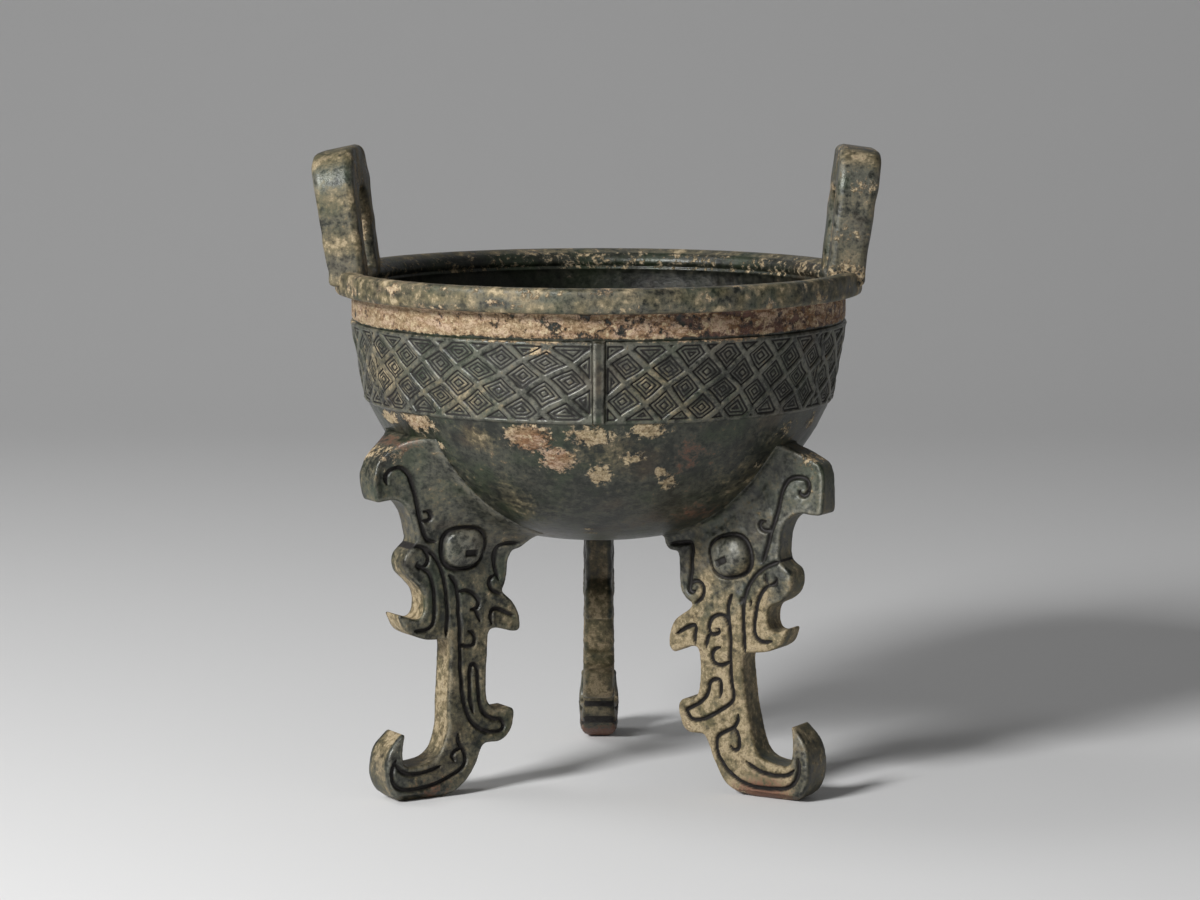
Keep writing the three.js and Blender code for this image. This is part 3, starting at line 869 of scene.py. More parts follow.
    def dress(self, azimuth: Array, z: Array) -> dict[str, Array]:
        """Say where crust, film, the light colour of burnished metal with painted highlight, and painted shade
        lie on the bowl.

        The neck is thick with crust, warmer towards the right, and the lip has a thin one. Both hold more
        on the left. The inside wall below the bead is darkened as painted shade.

        Args:
            azimuth: Direction of each corner in degrees.
            z: Height of each corner.

        Returns:
            The masks, one value per corner.
        """
        masks = bowl_masks(azimuth, z, BOWL_PATCHES)
        row = np.repeat(np.arange(len(z) // self.columns), self.columns)
        inside = row >= self.inner_row()
        outside = ~inside
        neck = outside & (z > self.band_top + 0.5) & (z < self.rim_top - self.lip_height - 0.2)
        lip = outside & (z >= self.rim_top - self.lip_height - 0.2)
        left = bump((azimuth + 150.0 + 180.0) % 360.0 - 180.0, 42.0)
        rightward = smoothstep(-120.0, -50.0, azimuth)
        worn_off = 0.16 * waves(np.column_stack([np.radians(azimuth) * 80.0, z * 2.2]), 11.0, 81)
        masks["crust"] = np.where(neck, 0.62 + 0.30 * left + worn_off, masks["crust"])
        masks["warm"] = np.where(neck, 0.60 + 0.6 * rightward - worn_off, masks["warm"])
        masks["red"] = np.where(neck, 0.42 + 0.3 * smoothstep(-100.0, -50.0, azimuth), masks["red"])
        masks["crust"] = np.where(lip, 0.16 + 0.20 * left + worn_off, masks["crust"])
        masks["warm"] = np.where(lip, 0.45, masks["warm"])
        masks["film"] = np.where(lip, 0.42 + 0.25 * left - worn_off, masks["film"])
        # Real rubbing and painted highlight: the whole lip gets some of the light burnished colour.
        masks["wear"] = np.where(lip, 0.35, masks["wear"])
        # Painted shade: the inside wall below the bead is darkened.
        under_bead = inside & (z < self.rim_top - 6.5)
        masks["shade"] = np.where(under_bead, 0.75, masks["shade"])
        masks["crust"] = np.where(under_bead, 0.0, np.where(inside, 0.34, masks["crust"]))
        return masks


# ---------------------------------------------------------------- the lozenge band


@dataclass
class Band:
    """One stretch of the lozenge band, from a rib or mould joint to the next rib or joint."""

    bowl: Bowl
    start: float
    end: float
    name: str
    anchor: Point
    rise: Point
    fall: Point
    ribbon: float = 1.55
    depth: float = 0.75
    line_depth: float = 0.32
    border: float = 1.1
    step: float = 0.3

    def lattice(self, azimuth: Array, z: Array) -> Array:
        """Measure how far inside a lozenge each place is.

        A place is written as anchor + a rise + b fall. The distance to the nearest ribbon is
        (1/2 - |a - round(a)|) times the ribbons' spacing, less half a ribbon, and the same for b.

        Args:
            azimuth: Direction in degrees.
            z: Height in millimetres.

        Returns:
            Millimetres inside the lozenge or the panel's border, negative on a ribbon.
        """
        scale = math.radians(1.0) * 0.5 * (self.bowl.band_top_radius + self.bowl.band_bottom_radius)
        rise = np.array([self.rise[0] * scale, self.rise[1]])
        fall = np.array([self.fall[0] * scale, self.fall[1]])
        around = np.column_stack([azimuth * scale, z])
        x = (azimuth - self.anchor[0]) * scale + 0.3 * waves(around, 14.0, 71)
        y = z - self.anchor[1] + 0.3 * waves(around, 14.0, 72)
        cross = rise[0] * fall[1] - rise[1] * fall[0]
        a = (x * fall[1] - y * fall[0]) / cross
        b = (rise[0] * y - rise[1] * x) / cross
        across_rise = abs(cross) / np.linalg.norm(fall)
        across_fall = abs(cross) / np.linalg.norm(rise)
        inset = np.minimum(
            (0.5 - np.abs(a - np.round(a))) * across_rise,
            (0.5 - np.abs(b - np.round(b))) * across_fall,
        ) - self.ribbon / 2
        sides = np.minimum(azimuth - self.start, self.end - azimuth) * scale - 0.35
        ends = np.minimum(z - self.bowl.band_bottom, self.bowl.band_top - z) - self.border
        return np.minimum(np.minimum(inset, sides), ends)

    def skin(self, pitch: float, start_line: float) -> Skin:
        """Build the stretch as a closed ring segment, with the lozenges sunk and their lines cut.

        Args:
            pitch: Distance between the nested lines.
            start_line: Distance of the first line from the ribbon.

        Returns:
            The closed surface: the outer face at the band's radius less the depth of the cut, and a plain
            back.
        """
        bowl = self.bowl
        columns = int(math.radians(self.end - self.start) * bowl.band_top_radius / self.step)
        rows = int((bowl.band_top - bowl.band_bottom) / self.step)
        heights = np.linspace(bowl.band_bottom, bowl.band_top, rows)
        azimuth = np.linspace(self.start, self.end, columns)
        grid_a, grid_z = (values.ravel() for values in np.meshgrid(azimuth, heights, indexing="ij"))
        inset = self.lattice(grid_a, grid_z)
        lines = 0.5 + 0.5 * np.cos((inset - start_line) * 2 * math.pi / pitch)
        sunk = smoothstep(-0.25, 0.25, inset)
        edge = np.minimum(grid_z - bowl.band_bottom, bowl.band_top - grid_z)
        around = np.column_stack([np.radians(grid_a) * 75.0, grid_z])
        lift = -sunk * (self.depth * 0.45 + self.line_depth * lines)
        lift += 0.12 * waves(around, 9.0, 11) - 0.15 - 0.45 * (1 - smoothstep(0.0, 0.7, edge))
        r = bowl.band_radius(grid_z) + lift
        shape = (columns, len(heights))
        back_z = np.array([bowl.band_top, bowl.band_bottom])
        back_r = np.repeat((bowl.band_radius(back_z) - 2.6)[None], columns, axis=0)
        r = np.hstack([r.reshape(shape), back_r])
        z = np.hstack([grid_z.reshape(shape), np.repeat(back_z[None], columns, axis=0)])
        turn = np.radians(np.repeat(azimuth[:, None], r.shape[1], axis=1))
        points = np.stack([r * np.cos(turn), r * np.sin(turn), z], axis=-1).reshape(-1, 3)
        # Ribbons and the ridges between the nested lines get the light burnished colour: part real rubbing,
        # part painted highlight.
        rubbed_and_sheen = 0.34 * (1 - sunk) + 0.34 * sunk * (1 - lines)
        masks = bowl_masks(np.degrees(turn).ravel(), z.ravel(), BAND_PATCHES)
        masks["inset"] = np.hstack([inset.reshape(shape), np.full((columns, 2), -1.0)]).ravel()
        masks["wear"] = np.hstack([rubbed_and_sheen.reshape(shape), np.zeros((columns, 2))]).ravel()
        rows = r.shape[1]
        faces = grid_faces(columns, rows, close_columns=True)
        first = list(range(rows))
        last = list(range((columns - 1) * rows, columns * rows))
        return Skin(points * MM, faces, masks, [first[::-1], last])


BAND_PATCHES = (
    Patch("crust", -107, 147.4, 20, 2.4, 0.95),
    Patch("crust", -132, 147.8, 14, 2.2, 0.75),
    Patch("crust", -62, 147.6, 20, 2.6, 0.9),
    Patch("crust", -30, 148.0, 16, 2.0, 0.8),
    Patch("warm", -60, 147, 50, 6.0, 0.9),
    Patch("warm", -110, 147, 30, 6.0, 0.5),
    Patch("crust", -103, 143, 4, 3, 0.5),
    Patch("film", -150, 133, 14, 12, 0.52),
    Patch("film", -125, 128, 16, 7, 0.45),
    Patch("film", -78, 132, 10, 9, 0.42),
    Patch("film", -70, 126, 14, 5, 0.40),
    Patch("film", 60, 134, 60, 14, 0.45),
    Patch("crust", 60, 147.6, 60, 2.4, 0.85),
    Patch("crust", 175, 147.6, 30, 2.4, 0.85),
    Patch("warm", 60, 147, 80, 6.0, 0.7),
)


@dataclass
class Rib:
    """A plain upright rib between two panels of the band."""

    bowl: Bowl
    azimuth: float
    width: float = 3.9
    proud: float = 1.4
    rows: int = 70
    columns: int = 26

    def skin(self) -> Skin:
        """Sweep the rib's section up the band.

        Returns:
            The closed surface; its lift is proud times (1 - |s|^4)^(1/2) across, s from -1 to 1.
        """
        bowl = self.bowl
        s = np.linspace(-1.0, 1.0, self.columns)
        heights = np.linspace(bowl.band_bottom + 0.1, bowl.band_top + 0.3, self.rows)
        end = np.minimum(1.0, np.minimum(heights - heights[0], heights[-1] - heights) / 0.8 + 0.35)
        lift = -0.8 + (self.proud + 0.8) * np.sqrt(np.maximum(0.0, 1 - np.abs(s) ** 4))[None] * end[:, None]
        z, side = np.meshgrid(heights, s, indexing="ij")
        flat = np.column_stack([z.ravel(), side.ravel() * 2])
        lift = lift + 0.08 * waves(flat, 5.0, int(self.azimuth) % 97).reshape(z.shape)
        r = bowl.band_radius(z) + lift
        turn = math.radians(self.azimuth) + side * self.width / 2 / bowl.band_top_radius
        back = np.stack([bowl.band_radius(z[:, :1]) - 2.4] * 2, axis=1)[..., 0]
        r = np.hstack([r, back])
        z = np.hstack([z, z[:, :2]])
        turn = np.hstack([turn, turn[:, -1:], turn[:, :1]])
        points = np.stack([r * np.cos(turn), r * np.sin(turn), z], axis=-1).reshape(-1, 3)
        masks = bowl_masks(np.degrees(turn).ravel(), z.ravel(), BAND_PATCHES)
        # The rib's shoulders get the light burnished colour: part real rubbing, part painted highlight.
        rubbed_and_sheen = np.repeat(0.8 * bump(np.abs(s) - 0.7, 0.25)[None], self.rows, axis=0)
        masks["wear"] = np.hstack([rubbed_and_sheen, np.zeros((self.rows, 2))]).ravel()
        columns = r.shape[1]
        first = list(range(columns))
        last = list(range((self.rows - 1) * columns, self.rows * columns))
        faces = grid_faces(self.rows, columns, close_columns=True)
        return Skin(points * MM, faces, masks, [first, last[::-1]])


# ---------------------------------------------------------------- legs

Parts = tuple[tuple[str, tuple[Point, ...]], ...]

OUTLINE: Parts = (
    ("horn", (
        (66, 113.5), (72, 112.2), (76.6, 109.4), (79.8, 106.4), (81.2, 102.4), (81.3, 98.4), (80.7, 94.4),
        (79.6, 93.6), (76.6, 93.9), (74.4, 93.9),
    )),
    ("neck", ((71.6, 92.8), (69.3, 89.8), (68, 86.4), (67.2, 82.4), (67.2, 80.2))),
    ("ear", (
        (69, 78.4), (70.8, 76.4), (71.3, 73.6), (70.4, 70.8), (67.4, 67.8), (65, 64.8), (64.3, 61),
        (64.9, 57.8), (66.8, 56.4), (69.8, 57.2), (72.8, 58.2), (73.1, 57.4), (71.2, 53.6), (68.4, 51.6),
        (63.6, 49.9), (58.6, 49.5),
    )),
    ("shaft", ((55.9, 48.6), (55.6, 44), (55.9, 38), (56.3, 32), (56.5, 26), (56.6, 21.6))),
    ("hook", (
        (58, 16.6), (59.8, 13.5), (62.4, 11.8), (66, 11), (69.8, 10.8), (72.2, 11.9), (72.8, 15),
        (72.2, 18.4), (71.8, 20.8), (72.8, 21), (75.2, 18.8), (77.2, 16.4), (78.4, 12.6), (78.5, 8.6),
        (77.6, 5), (75.6, 1.9), (72.4, 0.2),
    )),
    ("sole", ((68, 0), (63, 0), (58.6, 0.1))),
    ("arch", (
        (55.2, 1.1), (51.4, 3.6), (48.4, 6.8), (46.3, 10.2), (45.2, 13.4), (43.6, 15.4), (41.4, 15.7),
    )),
    ("heel", (
        (38.6, 15.7), (35.6, 17), (33.8, 19.2), (33.1, 22.4), (33.1, 25), (34.4, 26), (38, 25.9),
        (41, 27), (42.7, 29.6),
    )),
    ("shin", ((42.8, 34), (42.6, 40), (42.2, 46), (41.6, 50.4))),
    ("beak", (
        (39.6, 51.5), (36.6, 50.9), (33.4, 50), (30.9, 50.1), (30.5, 52.2), (31.3, 56), (33.2, 59.3),
        (35.6, 61.6), (36.6, 63),
    )),
    ("jaw", (
        (35.8, 65.2), (35, 69), (35, 73.2), (34.3, 75.6), (32.2, 76.5), (31, 78), (29.6, 80.6),
        (28, 83.4),
    )),
)

GROOVES: Parts = (
    ("horn", (
        (76.9, 99.1), (77.3, 101.4), (75.6, 103.5), (72.6, 103.9), (70.1, 101.6), (68.6, 97.6),
        (67.1, 92.8), (65.7, 87.2), (64.5, 83.2), (63, 80.8), (60.3, 80.1),
    )),
    ("neck", ((65.2, 87), (63.2, 86.9), (62.2, 88.2), (63, 89.7), (64.6, 89.9))),
    ("ear", (
        (69.3, 78.6), (67.2, 79.3), (63.6, 77.9), (60.6, 75.4), (58.4, 71.4), (57.3, 67.4), (56.6, 62),
        (56.4, 57), (56.9, 50.6),
    )),
    ("ear", ((64.6, 78), (63.2, 75.9), (63.6, 73.6), (65.3, 72.5), (66.8, 73.2), (66.7, 74.4))),
    ("ear", (
        (65.1, 72), (62.8, 70.6), (61.3, 66.6), (60.9, 62), (61, 57.4), (62.1, 54.2), (64.6, 52.9),
        (67.9, 53),
    )),
    ("shaft", (
        (55.8, 69.5), (53.6, 66.9), (52.6, 62.6), (52.3, 56), (52.1, 46), (51.8, 35.6), (51, 30),
        (49.2, 24.4), (46.6, 21.2), (42.6, 19.2), (38.2, 18.8), (36.7, 20.6), (37.8, 22.5), (41, 23.2),
        (43.8, 25.2), (45.3, 28.6), (45.8, 34), (46, 38.8), (47.2, 40.9), (48.4, 40), (48.8, 35),
        (48.6, 29.8), (47.6, 25.8),
    )),
    ("shin", ((52.5, 64), (49.4, 64), (46.7, 62.5), (45.4, 60.2), (46.2, 58.2), (48.3, 58.2))),
    ("shin", ((46.9, 58.2), (45.8, 56.4), (44.9, 54.2))),
    ("shin", ((52.1, 47.7), (49.9, 46.6), (47.6, 46.9), (46.8, 48.9), (47.5, 50.7), (49.3, 51.5))),
    ("beak", ((40.9, 53.1), (41.1, 56), (40, 57.5), (37, 56.8), (33.2, 54.8))),
    ("jaw", ((33.3, 78.1), (37.2, 78.3), (39.7, 77.2), (40, 74.4), (39.6, 70.8), (38.2, 66.7))),
    ("jaw", ((39.5, 68.2), (41.3, 67), (41.4, 65), (40.2, 63.2), (37.4, 62.1))),
    ("hook", (
        (53.3, 19.6), (52.8, 16.6), (50.9, 13.6), (50.6, 10.8), (52.4, 8.4), (56.4, 6.3), (61.8, 4.6),
        (67.4, 3.9), (72.8, 4.1), (76, 6), (77, 8.8), (76.4, 11.6), (75.3, 13.9),
    )),
    ("hook", ((51.6, 14.8), (53.9, 14.4), (55.2, 12.8), (54.4, 11.2))),
    ("hook", ((75.3, 12.4), (73.8, 10.1), (70.6, 8.7), (66.2, 8.6), (62.4, 9.3), (59.6, 10.1))),
)

RIGHT_OUTLINE: Parts = (
    ("horn", (
        (66, 110.8), (71.6, 108.9), (75.4, 107.3), (78.2, 106), (79.9, 104.8), (80.8, 102.7),
        (81.2, 100.1), (81.2, 97), (81.1, 93.1), (80.6, 89.9), (77.1, 89.5), (74.1, 89.8),
    )),
    ("neck", ((71.1, 89), (68.9, 87.3), (67.7, 85.3), (66.8, 82.5), (66.5, 79.4), (66.4, 76.4))),
    ("ear", (
        (67, 74.2), (68.6, 72.8), (70.1, 71.7), (70.8, 69.8), (70.8, 67.4), (70.2, 65.3), (69.1, 63.7),
        (67, 62), (64, 60.6), (62.9, 59.3), (62.4, 56.5), (62.7, 54.2), (63.6, 52.7), (65.6, 52.3),
        (68.9, 53.5), (68.9, 51.8), (67.5, 48.8), (64.9, 47), (62.2, 46), (58.4, 45.4), (55, 44.9),
    )),
    ("shaft", (
        (53.9, 43.2), (53.9, 39.8), (54.3, 35.9), (54.8, 32), (55.4, 28.1), (56.2, 24.3), (57, 20.6),
    )),
    ("hook", (
        (58, 17.2), (59, 14.5), (61, 12.5), (64.9, 11.2), (69.2, 10.9), (71.4, 12.2), (72, 15.2),
        (71.8, 19.4), (71.4, 23.4), (72.4, 23), (74.6, 21), (76.3, 18.6), (77.4, 15.6), (77.9, 12.2),
        (77.8, 8.2), (76.8, 4.8), (74.6, 1.6), (71.6, 0.2),
    )),
    ("sole", ((68, 0), (63, 0), (58.2, 0.1))),
    ("arch", (
        (53.6, 0.9), (50.2, 2.2), (47.7, 4.1), (46, 6.6), (44.6, 9.3), (43.3, 12), (42.3, 14.6),
        (41.1, 16.9), (39.8, 18.2),
    )),
    ("heel", (
        (37.4, 18.2), (34.8, 18.4), (32.8, 20), (31.9, 22.3), (31.2, 24.6), (31.3, 26.6), (32.2, 28.1),
        (33.8, 28.8), (36.6, 29.1),
    )),
    ("shin", ((37.8, 30.4), (38.5, 32.6), (38.8, 36.4), (38.7, 40.4), (38.4, 43.6))),
    ("beak", (
        (37.3, 45.4), (34.7, 45.2), (31.6, 43.9), (29.4, 43.1), (28, 44.2), (27.6, 46.4), (27.8, 48.6),
        (28.6, 51.4), (30, 53.5), (32.2, 55.2), (35, 57.2),
    )),
    ("jaw", (
        (35.7, 58.9), (33.5, 60.4), (31.8, 62.5), (31.2, 65.2), (31.1, 68.8), (30.9, 72.8), (30.2, 74.7),
        (27.9, 75.1), (26.5, 76), (25.8, 78), (26.4, 81.2),
    )),
)

RIGHT_GROOVES: Parts = (
    ("horn", (
        (73.2, 96.6), (73.6, 95.6), (75, 95.4), (76, 96.6), (76.1, 98.6), (75.3, 100.3), (73.4, 100.9),
        (71, 100.6), (69.1, 99.5), (67.9, 97.5), (66.9, 94.7), (66.1, 91.3), (65.2, 88), (64.3, 85.2),
        (63.3, 82.6), (62.5, 79.3), (61.6, 76.3), (60.7, 73.9),
    )),
    ("neck", ((63.8, 84.3), (61.9, 83.6), (60.2, 84.2), (59.6, 85.4), (60.3, 86.4), (61.7, 86.7))),
    ("ear", (
        (67.1, 74.7), (64.3, 73.5), (61.7, 72.2), (59.1, 70.3), (57, 67.8), (55.3, 64.9), (54.4, 61.7),
        (54.1, 58.2), (54, 54.8), (54.1, 52.3), (54.4, 49.6), (54.6, 47.1), (54.9, 45.2),
    )),
    ("ear", ((61.6, 70), (62, 68.2), (62.8, 66.9))),
    ("ear", ((62.9, 66.7), (64.7, 67.2), (65.8, 68.5), (65.4, 69.4))),
    ("ear", (
        (62.9, 66.8), (60.9, 64.8), (59.4, 61.7), (58.6, 58.6), (58.1, 55.4), (57.9, 53.3), (58.2, 51.5),
        (59.2, 49.9), (61.3, 49), (64.2, 49.5),
    )),
    ("ear", ((53.3, 62.2), (53.2, 60.4))),
    ("ear", ((56.8, 61.6), (56.5, 60))),
    ("shaft", (
        (50.2, 62.9), (49.2, 61.1), (48.6, 58.5), (48.8, 56), (49.3, 53), (49.5, 50.4), (49.6, 47.2),
        (49.5, 43.3), (49.7, 39.4), (50, 36.3), (50.6, 33.2), (50.7, 30.4), (49.7, 28.7), (47.1, 26.8),
        (43.6, 24.6), (40.5, 23), (37.5, 22.3), (35.9, 22.7), (34.8, 24), (34.3, 25.2), (36.1, 26.3),
        (38.7, 27.8), (40.8, 29.8), (41.9, 31.8), (42.2, 34), (43.2, 35.4), (45.3, 36), (46.3, 35.1),
        (46.5, 32.8), (46, 30.3),
    )),
    ("shin", (
        (49.1, 52.4), (48.5, 54.9), (47, 56.1), (44.8, 56), (42.9, 54.7), (41.9, 52.4), (42.3, 50.4),
        (43.7, 49.9), (45.3, 50.5), (45.7, 51.4), (44.8, 51.8),
    )),
    ("shin", ((42.4, 50.3), (41.4, 48.1), (41, 45.5))),
    ("shin", (
        (49.4, 42.1), (48.4, 41.2), (46.5, 40.5), (44.5, 40.8), (43.4, 42), (43.1, 43.5), (44, 45.2),
        (45.8, 45.9),
    )),
    ("beak", ((30.4, 48.9), (33.6, 51), (36.3, 52.1), (37.1, 51.2), (36.9, 48.9), (37.2, 46.3))),
    ("jaw", (
        (28.4, 77.1), (31, 77.4), (33.7, 77.9), (35.3, 77.7), (35.9, 75.8), (35.7, 72.4), (35.5, 68.4),
        (34.9, 64.8), (34.8, 63.4), (35.8, 62.4), (36.9, 62.9),
    )),
    ("jaw", ((35, 64.6), (36.2, 65.7), (38.1, 66), (39.6, 65), (40, 63.1), (39.2, 60.9), (37.2, 59.1))),
    ("hook", (
        (52.7, 25.4), (52.4, 23.3), (51, 21.3), (48, 19.7), (45.8, 18.3), (45, 16.9), (45, 14.5),
        (45.9, 11.8), (47.4, 9.6), (49, 7.6), (51.6, 5.8), (54.3, 4.5), (57.8, 3.6), (61.3, 3.3),
        (65.6, 3.6), (69.5, 4.1), (72.1, 5.5), (73.8, 7.7), (74.6, 10.9), (74.1, 13.9),
    )),
    ("hook", ((51, 21.1), (52.2, 20), (52.9, 18.1), (53, 15.7), (52.2, 14.4), (50.8, 14.5), (50.1, 15.3))),
    ("hook", ((55.7, 10.9), (58.2, 9.6), (60.8, 8.4), (63.8, 7.9), (67.3, 7.9), (70.8, 8.6), (72.9, 10.3))),
)


@dataclass(frozen=True)
class Drawing:
    """What a leg's mould was cut to: outline, grooves, eye and pupil, and how far each part was shifted."""

    outline: Parts
    grooves: Parts
    eye: Point
    eye_tilt: float
    pupil_tilt: float
    pupil: Point = (-2.1, -1.5)
    shift: tuple[tuple[str, Point], ...] = ()

    def moved(self, part: str, points: tuple[Point, ...]) -> Array:
        """Shift a part's points to where this leg's mould had them."""
        return np.asarray(points, dtype=float) + np.asarray(dict(self.shift).get(part, (0.0, 0.0)))


LEFT_DRAWING = Drawing(OUTLINE, GROOVES, (51.2, 77.6), 0.0, 2.0)
RIGHT_DRAWING = Drawing(RIGHT_OUTLINE, RIGHT_GROOVES, (49.4, 74.8), 15.0, 25.0)
BACK_DRAWING = Drawing(
    OUTLINE, GROOVES, (50.3, 76.2), 0.0, 6.0,
    shift=(
        ("horn", (-0.3, -1.5)), ("neck", (-0.4, -2.0)), ("ear", (-0.7, -2.2)), ("shaft", (-0.4, 0.0)),
        ("sole", (5.5, 0.0)), ("arch", (5.5, 0.6)), ("heel", (-0.8, 2.0)), ("shin", (-1.8, 0.0)),
        ("beak", (-1.0, -4.8)), ("jaw", (-1.2, -1.5)),
    ),
)


@dataclass(frozen=True)
class LegCoat:
    """How much earth a leg holds above and below a height, on foot and walls, how red it is, and how much
    painted shade, partly dark patina, darkens its top.
    """

    high: float
    low: float
    foot: float
    wall: float
    top: float = 68.0
    red: float = 0.5
    top_shade_and_patina: float = 0.0


@dataclass
class Leg:
    """One flat dragon-shaped leg that runs out of the bowl, in millimetres out from the axis and up."""

    bowl: Bowl
    name: str
    azimuth: float
    drawing: Drawing
    coat: LegCoat
    seed: int
    fillet: float
    half: float = 4.8
    taper: Point = (0.025, -0.01)
    middle: Point = (50.0, 40.0)
    rounding: float = 0.95
    sole_flat: float = 2.6
    sole_rise: float = 1.5
    groove_half: float = 0.88
    groove_depth: float = 1.15
    eye_radius: float = 6.2
    eye_proud: float = 3.2
    eye_squareness: float = 2.6
    pupil_half: Point = (2.35, 1.15)
    pupil_depth: float = 1.2
    moat: float = 7.1
    hidden_arc: tuple[float, ...] = (28.0, 36.0, 46.0, 56.0, 64.0)
    step: float = 0.36

    def outline(self) -> Array:
        """Join the features' points and the arc inside the bowl's wall into one smooth loop."""
        around = np.vstack([self.drawing.moved(part, points) for part, points in self.drawing.outline])
        r = np.array(self.hidden_arc)
        wall = np.column_stack([r, self.bowl.belly_height(r, self.bowl.wall * 0.55)])
        loop = spline(np.vstack([around, wall]).tolist(), 6, closed=True)
        loop[:, 1] = np.maximum(loop[:, 1], 0.0)
        return softened(loop, 0.3, 2)

    def thickness(self, points: Array) -> Array:
        """Give the plate's half thickness before its edges and cuts.

        It grows slowly outward, swells at the upturned toe, thins at the horn, and flows into the bowl by a
        round fillet: R - sqrt(R^2 - (R - d)^2) is added at a distance d below the bowl.

        Args:
            points: Places, out and up.

        Returns:
            Half thickness at each place.
        """
        r, z = points[:, 0], points[:, 1]
        half = self.half + self.taper[0] * (r - self.middle[0]) + self.taper[1] * (z - self.middle[1])
        half += 0.9 * bump(np.hypot(r - 75.0, z - 9.0), 9.0) - 0.9 * bump(np.hypot(r - 79.0, z - 101.0), 9.0)
        slope = np.arctan2(self.bowl.belly_height(r + 0.5) - self.bowl.belly_height(r - 0.5), 1.0)
        full = half
        for _ in range(4):
            below = (self.bowl.belly_height(np.hypot(r, full)) - z) * np.cos(slope)
            gap = np.clip(self.fillet - below, 0.0, self.fillet)
            full = 0.5 * full + 0.5 * (half + self.fillet - np.sqrt(self.fillet**2 - gap**2))
        return full

    def cuts(self, points: Array) -> Array:
        """Measure the grooves: 1 in the middle of one, falling to 0 at its sides, thinner at the ends.

        Args:
            points: Places, out and up.

        Returns:
            The strongest groove at each place.
        """
        carve = np.zeros(len(points))
        for part, line in self.drawing.grooves:
            path = spline(self.drawing.moved(part, line).tolist(), 6)
            low, high = path.min(axis=0) - 2.0, path.max(axis=0) + 2.0
            near = ((points > low) & (points < high)).all(axis=1)
            distance, _, along = nearest_on_path(points[near], path)
            length = np.linalg.norm(np.diff(path, axis=0), axis=1).sum()
            from_end = np.minimum(along, 1 - along) * length
            wide = self.groove_half * np.clip(from_end / 3.0 + 0.45, 0.0, 1.0)
            carve[near] = np.maximum(carve[near], np.clip(1.0 - (distance / wide) ** 2, 0.0, 1.0))
        return carve

    def eye_parts(self, points: Array) -> tuple[Array, Array, Array]:
        """Shape the eye: a squarish dome in a moat, with a slanted slot for the pupil.

        The dome's radius is q = (x^n + y^n)^(1/n) with n the squareness, and its height is
        proud (1 - (q / radius)^2.2)^(1/1.8).

        Args:
            points: Places, out and up.

        Returns:
            Height of the dome, strength of the moat, strength of the pupil's slot.
        """
        x, y = turned(points - np.asarray(self.drawing.eye), self.drawing.eye_tilt)
        n = self.eye_squareness
        q = (np.abs(x * 0.96) ** n + np.abs(y * 1.04) ** n) ** (1 / n)
        share = np.clip(q / self.eye_radius, 0.0, 1.0)
        dome = self.eye_proud * (1.0 - share**2.2) ** (1 / 1.8)
        moat = np.clip(1.0 - ((q - self.moat + 0.25) / (0.8 + 0.25 * x / self.moat)) ** 2, 0.0, 1.0)
        pupil = np.asarray(self.drawing.eye) + np.asarray(self.drawing.pupil)
        u, v = turned(points - pupil, self.drawing.pupil_tilt)
        long, short = self.pupil_half
        slot = smoothstep(1.12, 0.75, np.maximum(np.abs(u) / long, np.abs(v) / short))
        return dome, moat, slot

    def shape(self, points: Array, depth: Array) -> tuple[Array, dict[str, Array]]:
        """Give the half thickness and masks at each corner of the plate.

        Args:
            points: Places, out and up.
            depth: Distance from the outline.

        Returns:
            Half thickness, and the masks.
        """
        r, z = points[:, 0], points[:, 1]
        carve = self.cuts(points)
        dome, moat, slot = self.eye_parts(points)
        carve = np.maximum(carve * (dome <= 0.0), moat)
        edge = np.clip(1.0 - depth / self.rounding, 0.0, 1.0)
        half = self.thickness(points) - self.rounding * (1.0 - np.sqrt(1.0 - edge**2 * EDGE_DROP))
        half += 0.16 * waves(points, 9.0, self.seed) + 0.06 * waves(points, 3.0, self.seed + 1)
        half += dome - self.groove_depth * carve * smoothstep(0.0, 1.2, depth) - self.pupil_depth * slot
        dark = smoothstep(0.12, 0.6, carve)
        coat = self.coat
        body = smoothstep(coat.top + 14.0, coat.top - 14.0, z + 7.0 * waves(points, 13.0, self.seed + 2))
        foot = smoothstep(26.0, 12.0, z + 3.0 * waves(points, 9.0, self.seed + 5))
        toe = smoothstep(70.5, 74.0, r) * smoothstep(32.0, 22.0, z)
        # The ridge along the outline and the rims of the grooves get the light burnished colour: part real
        # rubbing, part painted highlight.
        crest_wear_and_sheen = bump(depth - 0.75, 0.45) * (1 - dark)
        rim_wear_and_sheen = bump(carve - 0.02, 0.03) * (depth > 1.0)
        earth = coat.high + (coat.low - coat.high) * body + (coat.foot - coat.low) * foot
        under_foot = bump(np.hypot((r - 62.0) / 1.6, z - 1.0), 7.0)
        horn_top = bump(np.hypot(r - 74.0, z - 112.0), 5.0)
        masks = {
            "carve": np.maximum(dark, slot),
            # The eye's dome gets the light burnished colour as a painted highlight.
            "wear": np.clip(0.55 * crest_wear_and_sheen + 0.22 * rim_wear_and_sheen + 0.35 * (dome > 0) * (1 - slot), 0, 1),
            "film": np.clip(earth - 0.5 * toe, 0, 1),
            "crust": 0.10 + 0.14 * body * coat.low + 0.5 * bump(np.hypot(r - 77.0, z - 108.0), 4.0),
            "warm": np.full(len(points), 0.25),
            "red": coat.red * under_foot + 0.5 * horn_top,
            # Painted shade, partly dark patina: the top of the leg is darkened by its coat's share.
            "shade": coat.top_shade_and_patina * smoothstep(50, 58, z),
        }
        return half, masks

